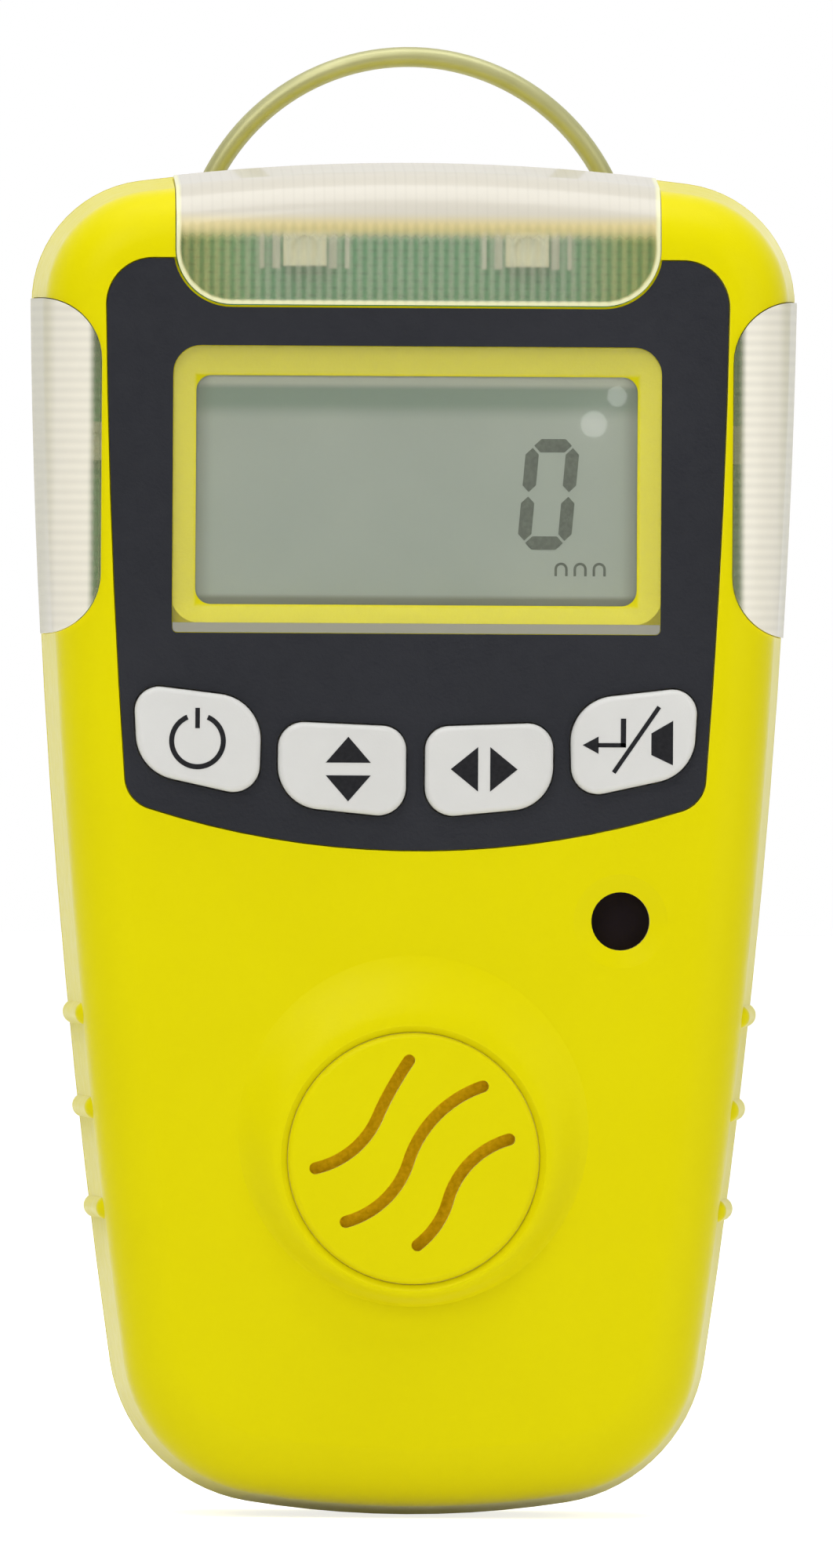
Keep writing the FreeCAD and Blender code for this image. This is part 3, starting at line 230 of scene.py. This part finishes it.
def hazy_lens_with_painted_light(name, haze_and_painted_light, haze_color_and_painted_light):
    """Clear plastic with ribs and a milky layer mixed in: how milky it is and the milky colour are worked out
    from the place, and they paint highlights, a reflection and shade into the lens.
    """
    s = Shader(name)
    clear = s.principled((0.98, 0.98, 0.94), 0.16, Transmission_Weight=1.0, IOR=1.3)
    s.bump(clear, s.noise(500, 2), 0.01 * MM)
    milky = s.principled((0.6, 0.6, 0.5), 0.35, Coat_Weight=0.3)
    s.link(haze_color_and_painted_light(s), milky.inputs["Base Color"])
    surface = s.mixed(haze_and_painted_light(s), clear.outputs["BSDF"], milky.outputs["BSDF"])
    s.lets_lamps_through(surface, (0.97, 0.97, 0.93))
    return s.material


def top_lens_border(s):
    """Distance in millimetres from the lens's rounded lower outline, negative inside it."""
    outwards = s.maths("ABSOLUTE", s.axis("X"))
    over_x = s.maths("MAXIMUM", s.maths("SUBTRACT", outwards, LENS_HALF - LENS_CORNER_R), 0.0)
    over_z = s.maths("MAXIMUM", s.maths("SUBTRACT", LENS_LOW_Z + LENS_CORNER_R, s.axis("Z")), 0.0)
    squares = s.maths("ADD", s.maths("MULTIPLY", over_x, over_x), s.maths("MULTIPLY", over_z, over_z))
    return s.maths("SUBTRACT", s.maths("SQRT", squares), LENS_CORNER_R)


def top_lens_haze_and_painted_light(s):
    """Milky above, painting the reflection of the light from above; painted rib highlights in front; and a
    painted highlight along its rounded border.
    """
    # Painted reflection: a milky band over the top, for the light from above.
    painted_light_haze = s.step(s.axis("Z"), 100.2, 102.2, 0.12, 0.92)
    # Painted rib highlights: the milkiness rises and falls along the ribs.
    painted_rib_highlights = s.maths("MULTIPLY", s.ribs(s.axis("X"), RIB_PITCH), 0.16)
    # Painted highlight: milky along the rounded lower border.
    border = s.step(top_lens_border(s), -0.55, -0.25, 0.0, 0.8)
    return s.maths("MINIMUM", s.maths("ADD", s.maths("ADD", painted_light_haze, painted_rib_highlights), border), 0.96)


def top_lens_color_and_painted_light(s):
    ends = s.step(s.maths("ABSOLUTE", s.axis("X")), 11.0, 17.5, 0.0, 1.0)
    face = s.blend(ends, (0.50, 0.52, 0.40), (0.55, 0.52, 0.20))
    # Painted highlight: a lighter, warmer band where the front turns into the top.
    strip = s.blend(s.step(s.axis("Z"), 100.4, 101.4, 0.0, 1.0), face, (0.66, 0.56, 0.27))
    # Painted reflection: cream over the top, for the light from above.
    top = s.blend(s.step(s.axis("Z"), 101.6, 102.8, 0.0, 1.0), strip, (0.60, 0.565, 0.48))
    # Painted highlight: pale yellow along the rounded lower border.
    return s.blend(s.step(top_lens_border(s), -0.55, -0.25, 0.0, 1.0), top, (0.80, 0.79, 0.48))


def side_lens_haze_and_painted_light(s):
    """A thin clear strip at the inner edge, then a milky band round the corner of the case that carries a
    painted highlight.
    """
    painted_light_haze = s.step(s.maths("ABSOLUTE", s.axis("X")), 25.2, 26.0, 0.25, 0.88)
    # Painted rib highlights: the milkiness rises and falls along the ribs.
    return s.maths("ADD", painted_light_haze, s.maths("MULTIPLY", s.ribs(s.axis("Z"), RIB_PITCH), 0.10))


def side_lens_color_and_painted_light(s):
    outwards = s.maths("ABSOLUTE", s.axis("X"))
    # A grey-green strip where the board shows through, then a cream painted highlight round the corner of the
    # case.
    inner = s.blend(s.step(outwards, 25.1, 25.9, 0.0, 1.0), (0.30, 0.34, 0.18), (0.86, 0.82, 0.70))
    # Painted shade: darker towards the outer edge, where the side turns away from the light.
    return s.blend(s.step(outwards, 28.2, 29.4, 0.0, 1.0), inner, (0.62, 0.59, 0.42))


def circuit_board():
    """Green solder mask over tracks, with a fine weave of the laminate in the mask."""
    s = Shader("circuit_board")
    mask, over_track = (0.030, 0.190, 0.080), (0.075, 0.330, 0.150)
    shader = s.principled(mask, 0.3, Coat_Weight=0.4)
    tracks = s.node("ShaderNodeTexBrick", offset=0.37, squash=1.0)
    tracks.inputs["Scale"].default_value = 420
    tracks.inputs["Mortar Size"].default_value = 0.09
    tracks.inputs["Color1"].default_value = (*mask, 1.0)
    tracks.inputs["Color2"].default_value = (0.038, 0.220, 0.095, 1.0)
    tracks.inputs["Mortar"].default_value = (*over_track, 1.0)
    flat = s.node("ShaderNodeMapping")
    flat.inputs["Rotation"].default_value = (math.pi / 2, 0, 0)
    s.link(s.place, flat.inputs["Vector"])
    s.link(flat.outputs["Vector"], tracks.inputs["Vector"])
    s.link(tracks.outputs["Color"], shader.inputs["Base Color"])
    s.bump(shader, tracks.outputs["Fac"], 0.03 * MM)
    return s.material


def polished_metal(name, color, roughness, scratch_stretch=(1, 1, 1)):
    s = Shader(name)
    shader = s.principled(color, roughness, Metallic=1.0)
    streaks = s.noise(1400, 3, scratch_stretch)
    s.link(s.ranged(streaks, max(roughness - 0.06, 0.03), roughness + 0.1), shader.inputs["Roughness"])
    s.bump(shader, streaks, 0.003 * MM)
    return s.material


def bail_wire():
    """Plated wire with a warm film on it."""
    s = Shader("bail_wire")
    shader = s.principled((0.46, 0.45, 0.22), 0.42, Metallic=0.35)
    s.link(s.between(s.noise(260, 3), (0.43, 0.42, 0.20), (0.50, 0.49, 0.25)), shader.inputs["Base Color"])
    s.bump(shader, s.noise(2400, 2), 0.004 * MM)
    return s.material


def soft_rubber(name, color, lighter, roughness, gloss=0.5, sheen=0.15):
    s = Shader(name)
    shader = s.principled(color, roughness, Specular_IOR_Level=gloss, Sheen_Weight=sheen, Sheen_Roughness=0.4)
    s.link(s.between(s.noise(120, 3), color, lighter), shader.inputs["Base Color"])
    s.bump(shader, s.noise(7000, 2), 0.01 * MM)
    return s.material


def display_glass_painted_light():
    """Reflective liquid crystal: grey-green with a faint grain, with painted shadow along its top and bottom
    edges, a painted light line at the very top, and painted shade towards its left and right edges.
    """
    s = Shader("display_glass_painted_light")
    shader = s.principled((0.36, 0.40, 0.34), 0.35, Coat_Weight=0.35, Coat_Roughness=0.12)
    grain_and_painted_light = s.between(s.noise(38, 4), (0.290, 0.320, 0.278), (0.348, 0.373, 0.322))
    up = s.maths("SUBTRACT", s.axis("Z"), BEZEL_Z)
    outwards = s.maths("ABSOLUTE", s.axis("X"))
    # Painted shadow: a dark green band below the top edge, where the bezel shades the display.
    grain_and_painted_light = s.blend(s.step(up, 5.4, 7.0, 0.0, 0.8), grain_and_painted_light, (0.175, 0.225, 0.175))
    # Painted highlight: a lighter line right at the top edge.
    grain_and_painted_light = s.blend(s.step(up, 7.9, 8.5, 0.0, 0.9), grain_and_painted_light, (0.40, 0.41, 0.34))
    # Painted shadow: a dark line along the bottom edge.
    grain_and_painted_light = s.blend(s.step(up, -8.1, -8.6, 0.0, 0.75), grain_and_painted_light, (0.13, 0.13, 0.09))
    # Painted shade: darker towards the left and right edges.
    grain_and_painted_light = s.blend(s.step(outwards, 15.9, 17.2, 0.0, 0.45), grain_and_painted_light, (0.15, 0.16, 0.12))
    s.link(grain_and_painted_light, shader.inputs["Base Color"])
    s.bump(shader, s.noise(9000, 2), 0.002 * MM)
    return s.material


def printed_ink(name, color, roughness=0.55):
    s = Shader(name)
    shader = s.principled(color, roughness, Specular_IOR_Level=0.12)
    lighter = tuple(min(1.0, c * 1.25 + 0.004) for c in color)
    s.link(s.between(s.noise(3000, 2), color, lighter), shader.inputs["Base Color"])
    return s.material


def woven_filter_painted_light():
    s = Shader("woven_filter_painted_light")
    # Painted light: the orange stands in for the yellow light that bounces about in the shaded slots above
    # the filter.
    shader = s.principled((0.78, 0.46, 0.02), 0.85, Specular_IOR_Level=0.05)
    s.link(s.between(s.noise(2600, 5), (0.70, 0.40, 0.0), (0.90, 0.56, 0.01)), shader.inputs["Base Color"])
    s.bump(shader, s.noise(4200, 4), 0.08 * MM)
    return s.material


def make_materials():
    return {
        "yellow_plastic": moulded_plastic("yellow_plastic", (0.745, 0.665, 0.0), (0.725, 0.640, 0.0), 0.36,
                                          gloss=0.06, sheen=0.40),
        "panel_black": moulded_plastic("panel_black", (0.019, 0.020, 0.026), (0.014, 0.015, 0.020), 0.42,
                                       grain=0.03, grain_scale=3600, gloss=0.28),
        "window_clear": window_pane(),
        "lens_clear": hazy_lens_with_painted_light("side_lens", side_lens_haze_and_painted_light, side_lens_color_and_painted_light),
        "lcd_grey": display_glass_painted_light(),
        "frame_black": moulded_plastic("frame_black", (0.03, 0.03, 0.032), (0.022, 0.022, 0.024), 0.5),
        "backlight_white": moulded_plastic("backlight_white", (0.8, 0.82, 0.8), (0.75, 0.77, 0.75), 0.5),
        "connector_rubber": soft_rubber("connector_rubber", (0.5, 0.45, 0.4), (0.56, 0.5, 0.45), 0.6),
        "button_grey": soft_rubber("button_grey", (0.64, 0.635, 0.61), (0.68, 0.675, 0.65), 0.45),
        "plunger_black": moulded_plastic("plunger_black", (0.03, 0.03, 0.03), (0.02, 0.02, 0.02), 0.4),
        "led_body": moulded_plastic("led_body", (0.93, 0.88, 0.70), (0.88, 0.82, 0.62), 0.35),
        "board_green": circuit_board(),
        "steel": polished_metal("steel", (0.62, 0.62, 0.61), 0.28),
        "clip_steel": polished_metal("clip_steel", (0.66, 0.66, 0.66), 0.26, (1, 1, 0.04)),
        "spring_steel": polished_metal("spring_steel", (0.5, 0.5, 0.5), 0.25),
        "bail_wire": bail_wire(),
        "seal_rubber": soft_rubber("seal_rubber", (0.03, 0.03, 0.03), (0.045, 0.045, 0.045), 0.6),
        "plug_rubber": soft_rubber("plug_rubber", (0.025, 0.025, 0.027), (0.04, 0.04, 0.042), 0.6),
        "foam_black": soft_rubber("foam_black", (0.008, 0.005, 0.007), (0.016, 0.010, 0.012), 0.85, 0.1, 0.0),
        "filter_tan": woven_filter_painted_light(),
        "sensor_white": moulded_plastic("sensor_white", (0.72, 0.72, 0.70), (0.66, 0.66, 0.64), 0.5),
        "gold": polished_metal("gold", (0.83, 0.62, 0.26), 0.2),
        "tungsten": polished_metal("tungsten", (0.35, 0.35, 0.37), 0.45),
        "battery_wrap": moulded_plastic("battery_wrap", (0.03, 0.10, 0.30), (0.025, 0.08, 0.26), 0.3),
        "connector_white": moulded_plastic("connector_white", (0.78, 0.78, 0.73), (0.72, 0.72, 0.66), 0.45),
        "lead_red": soft_rubber("lead_red", (0.55, 0.02, 0.02), (0.62, 0.04, 0.03), 0.45),
        "lead_black": soft_rubber("lead_black", (0.02, 0.02, 0.02), (0.035, 0.035, 0.035), 0.45),
        "label_silver": polished_metal("label_silver", (0.72, 0.72, 0.72), 0.35, (0.05, 1, 1)),
    }


def dress_frame(materials):
    slots = {part["node"]: part["material_slot"] for part in frame["record"]["subparts"]}
    for name, piece in NODES.items():
        piece.data.materials.clear()
        piece.data.materials.append(materials[slots[name]])
        smooth(piece, 35)
    NODES["top_lens"].data.materials[0] = hazy_lens_with_painted_light("top_lens", top_lens_haze_and_painted_light, top_lens_color_and_painted_light)


def smooth(piece, degrees):
    for other in bpy.context.selected_objects:
        other.select_set(False)
    piece.select_set(True)
    bpy.context.view_layer.objects.active = piece
    bpy.ops.object.shade_smooth_by_angle(angle=math.radians(degrees))
    piece.select_set(False)


# ---- mesh helpers -------------------------------------------------------------------
def piece_from(name, mesh_data, material, body):
    mesh = bpy.data.meshes.new(name)
    mesh_data.to_mesh(mesh)
    mesh_data.free()
    piece = bpy.data.objects.new(name, mesh)
    bpy.context.scene.collection.objects.link(piece)
    piece.data.materials.append(material)
    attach(piece, body)
    return piece


def add_plate(mesh_data, outline, y_back, thick):
    """A thin closed plate facing -Y: outline is a list of (x, z) in metres, anticlockwise from the front."""
    front = [mesh_data.verts.new((x, y_back - thick, z)) for x, z in outline]
    back = [mesh_data.verts.new((x, y_back, z)) for x, z in outline]
    mesh_data.faces.new(front)
    mesh_data.faces.new(list(reversed(back)))
    count = len(outline)
    for i in range(count):
        j = (i + 1) % count
        mesh_data.faces.new((front[i], back[i], back[j], front[j]))


def in_mm(points):
    return [(x * MM, z * MM) for x, z in points]


def bar(x0, z0, x1, z1, width):
    """Four corners of a straight stroke between two points, in millimetres."""
    dx, dz = x1 - x0, z1 - z0
    length = math.hypot(dx, dz)
    ox, oz = -dz / length * width / 2, dx / length * width / 2
    return [(x0 - ox, z0 - oz), (x1 - ox, z1 - oz), (x1 + ox, z1 + oz), (x0 + ox, z0 + oz)]


def add_ring_part(mesh_data, x, z, radius, width, start, end, y_back, steps=48):
    """Part of a flat ring between two angles, in degrees anticlockwise from +X."""
    inner, outer = radius - width / 2, radius + width / 2
    for k in range(steps):
        a = math.radians(start + (end - start) * k / steps)
        b = math.radians(start + (end - start) * (k + 1) / steps)
        quad = [(x + r * math.cos(angle), z + r * math.sin(angle))
                for r, angle in ((inner, a), (outer, a), (outer, b), (inner, b))]
        add_plate(mesh_data, in_mm(quad), y_back, PRINT_THICK)


# ---- printed icons on the keys ------------------------------------------------------
def power_icon(mesh_data, y):
    x, z, radius, stroke = -17.15, 61.1, 2.03, 0.40
    half_gap = 23               # degrees that the ring is open for, on each side of its stroke
    add_ring_part(mesh_data, x, z, radius, stroke, 90 + half_gap, 450 - half_gap, y)
    add_plate(mesh_data, in_mm(bar(x, z + 1.0, x, z + 2.6, 0.36)), y, PRINT_THICK)


def up_down_icon(mesh_data, y):
    x, z, half, gap, tall = -5.3, 58.96, 1.77, 0.5, 2.04
    up = [(x - half, z + gap), (x + half, z + gap), (x, z + gap + tall)]
    down = [(x, z - gap - tall), (x + half, z - gap), (x - half, z - gap)]
    for triangle in (up, down):
        add_plate(mesh_data, in_mm(triangle), y, PRINT_THICK)


def left_right_icon(mesh_data, y):
    x, z, half, gap, tall = 5.375, 59.0, 1.75, 0.475, 2.15
    left = [(x - gap - tall, z), (x - gap, z - half), (x - gap, z + half)]
    right = [(x + gap, z - half), (x + gap + tall, z), (x + gap, z + half)]
    for triangle in (left, right):
        add_plate(mesh_data, in_mm(triangle), y, PRINT_THICK)


def enter_mute_icon(mesh_data, y):
    tip_x, shaft_z, stroke, head = 13.1, 60.95, 0.34, 0.68
    arrow_head = [(tip_x, shaft_z), (tip_x + 1.25, shaft_z - head), (tip_x + 1.25, shaft_z + head)]
    arrow_shaft = bar(tip_x + 1.2, shaft_z, tip_x + 3.4, shaft_z, stroke)
    arrow_riser = bar(tip_x + 3.2, shaft_z - stroke / 2, tip_x + 3.2, shaft_z + 2.1, 0.42)
    divider = bar(15.55, 58.8, 19.1, 63.98, stroke)
    speaker = [(18.5, 60.2), (20.2, 59.4), (20.2, 62.9), (18.5, 61.9)]
    for shape in (arrow_head, arrow_shaft, arrow_riser, divider, speaker):
        add_plate(mesh_data, in_mm(shape), y, PRINT_THICK)


def make_icons(ink):
    icons = {"power": power_icon, "up_down": up_down_icon, "left_right": left_right_icon,
             "enter_mute": enter_mute_icon}
    for name, draw in icons.items():
        mesh_data = bmesh.new()
        draw(mesh_data, low(name + "_button").y + 0.005 * MM)
        piece_from(name + "_icon", mesh_data, ink, name + "_button_body")


# ---- display ------------------------------------------------------------------------
def segment(x, z, length, width, upright, lean):
    """A six-sided display segment centred on (x, z); lean shifts x with height."""
    half, cut = length / 2, width / 2
    points = [(-half, 0), (-half + cut, -cut), (half - cut, -cut),
              (half, 0), (half - cut, cut), (-half + cut, cut)]
    if upright:
        points = [(-b, a) for a, b in points]
    return [(x + px + lean * pz, z + pz) for px, pz in points]


def add_unit_mark(mesh_data, x, y):
    """A small arch that stands for a letter of the unit."""
    foot_z, arch_z, radius, stroke = 74.2, 74.75, 0.42, 0.2
    add_ring_part(mesh_data, x, arch_z, radius, stroke, 0, 180, y, 10)
    for leg_x in (x - radius, x + radius):
        add_plate(mesh_data, in_mm(bar(leg_x, foot_z, leg_x, arch_z, stroke)), y, PRINT_THICK)


def make_digit(ink):
    """A seven-segment zero at the right of the display, and three blank marks for its unit."""
    mesh_data = bmesh.new()
    y = low("lcd_glass").y
    left, right, bottom, top = 8.8, 11.96, 76.8, 84.45
    lean = math.tan(math.radians(5))
    centre_x, centre_z = (left + right) / 2, (bottom + top) / 2
    half_w, quarter_h = (right - left) / 2, (top - bottom) / 4
    across, upright, stroke = 2 * half_w - 0.2, 2 * quarter_h - 0.35, 1.05
    for dz in (-2 * quarter_h, 2 * quarter_h):
        shape = segment(centre_x + lean * dz, centre_z + dz, across, stroke, False, lean)
        add_plate(mesh_data, in_mm(shape), y, PRINT_THICK)
    for dx in (-half_w, half_w):
        for dz in (-quarter_h, quarter_h):
            shape = segment(centre_x + dx + lean * dz, centre_z + dz, upright, stroke, True, lean)
            add_plate(mesh_data, in_mm(shape), y, PRINT_THICK)
    for k in range(3):
        add_unit_mark(mesh_data, 11.4 + 1.5 * k, y)
    piece_from("display_digit", mesh_data, ink, "root")


# ---- board details behind the lens --------------------------------------------------
def make_led_pads(material):
    """Tinned pads on the board beside each top LED."""
    mesh_data = bmesh.new()
    y = low("main_board").y
    for x in TOP_LED_X:
        for side in (-1, 1):
            for offset, width in LED_PADS:
                left, right = x + side * offset - width / 2, x + side * offset + width / 2
                bottom, top = LED_PAD_Z
                pad = [(left, bottom), (right, bottom), (right, top), (left, top)]
                add_plate(mesh_data, in_mm(pad), y, LED_PAD_THICK * MM)
    piece_from("led_pads", mesh_data, material, "root")


# ---- stage, lights and camera -------------------------------------------------------
def make_stage():
    """White round table top. It glows far more for the camera, so that it reads as a white studio."""
    s = Shader("white_table")
    shader = s.principled((0.90, 0.90, 0.90), 0.9, Emission_Color=(1, 1, 1, 1))
    light_path = s.node("ShaderNodeLightPath")
    glow = s.maths("ADD", s.maths("MULTIPLY", light_path.outputs["Is Camera Ray"], 0.7), 0.05)
    s.link(glow, shader.inputs["Emission Strength"])
    s.bump(shader, s.noise(300, 3), 0.02 * MM)
    mesh_data = bmesh.new()
    bmesh.ops.create_circle(mesh_data, cap_ends=True, radius=3.6, segments=96)
    mesh = bpy.data.meshes.new("floor")
    mesh_data.to_mesh(mesh)
    mesh_data.free()
    floor = bpy.data.objects.new("floor", mesh)
    bpy.context.scene.collection.objects.link(floor)
    floor.data.materials.append(s.material)


def add_softbox(name, place, aim, width, height, power):
    light = bpy.data.lights.new(name, "AREA")
    light.shape = "RECTANGLE"
    light.size = width
    light.size_y = height
    light.energy = power
    holder = bpy.data.objects.new(name, light)
    holder.location = place
    holder.rotation_euler = (Vector(aim) - Vector(place)).to_track_quat("-Z", "Y").to_euler()
    bpy.context.scene.collection.objects.link(holder)


def make_lights():
    centre = (0, 0, 0.06)
    for name, (place, width, height, power) in SOFTBOXES.items():
        add_softbox(name, place, centre, width, height, power)
    for name, (x, z, radius) in GLINTS.items():
        add_glint(name, x, z, radius)
    make_world()


def add_glint(name, x, z, radius):
    """A tiny disc lamp that the window mirrors as a soft spot at (x, z), all in millimetres."""
    light = bpy.data.lights.new(name, "AREA")
    light.shape = "DISK"
    light.size = 2 * radius * MM
    light.energy = GLINT_POWER * radius * radius
    holder = bpy.data.objects.new(name, light)
    shift_x = GLINT_AWAY * math.tan(math.radians(-CAMERA_AZIMUTH))
    shift_z = GLINT_AWAY * math.tan(math.radians(-CAMERA_ELEVATION))
    lamp_y = low("display_window").y - GLINT_AWAY * MM
    holder.location = ((x + shift_x) * MM, lamp_y, (z + shift_z) * MM)
    holder.rotation_euler = (math.pi / 2, 0, 0)
    bpy.context.scene.collection.objects.link(holder)


def make_world():
    """White studio: bright behind the object and dim in front, so that only its edges shine."""
    world = bpy.data.worlds.new("studio")
    world.use_nodes = True
    tree = world.node_tree
    background = tree.nodes["Background"]
    background.inputs["Color"].default_value = (1, 1, 1, 1)
    split = tree.nodes.new("ShaderNodeSeparateXYZ")
    tree.links.new(tree.nodes.new("ShaderNodeTexCoord").outputs["Generated"], split.inputs["Vector"])
    level = tree.nodes.new("ShaderNodeMapRange")
    for name, number in (("From Min", -0.2), ("From Max", 0.6), ("To Min", 0.12), ("To Max", 0.85)):
        level.inputs[name].default_value = number
    tree.links.new(split.outputs["Y"], level.inputs["Value"])
    seen = tree.nodes.new("ShaderNodeMath")
    seen.operation = "MAXIMUM"
    tree.links.new(level.outputs["Result"], seen.inputs[0])
    tree.links.new(tree.nodes.new("ShaderNodeLightPath").outputs["Is Camera Ray"], seen.inputs[1])
    tree.links.new(seen.outputs["Value"], background.inputs["Strength"])
    bpy.context.scene.world = world


def make_camera():
    """Near-frontal view through a long lens, a little from the left and from above."""
    distance, roll = 3.0, 0.35
    view_height, aim_x, aim_z = 0.1240, 0.60 * MM, 57.64 * MM
    aim = Vector((aim_x, 0, aim_z))
    a, e = math.radians(CAMERA_AZIMUTH), math.radians(CAMERA_ELEVATION)
    away = Vector((math.sin(a) * math.cos(e), -math.cos(a) * math.cos(e), math.sin(e)))
    data = bpy.data.cameras.new("camera")
    data.sensor_fit = "VERTICAL"
    data.sensor_height = 24
    data.lens = data.sensor_height * distance / view_height
    data.clip_start = 0.01
    camera = bpy.data.objects.new("camera", data)
    camera.location = aim + away * distance
    camera.rotation_mode = "QUATERNION"
    tilt = Quaternion((0, 0, 1), math.radians(roll))
    camera.rotation_quaternion = (-away).to_track_quat("-Z", "Y") @ tilt
    bpy.context.scene.collection.objects.link(camera)
    bpy.context.scene.camera = camera


def main():
    materials = make_materials()
    dress_frame(materials)
    make_icons(printed_ink("icon_ink", (0.012, 0.012, 0.014)))
    make_digit(printed_ink("segment_ink", (0.115, 0.125, 0.105)))
    make_led_pads(moulded_plastic("tinned_pads", (0.74, 0.73, 0.66), (0.66, 0.65, 0.58), 0.35))
    make_stage()
    make_lights()
    make_camera()
    bpy.context.scene.view_settings.view_transform = "Standard"


main()
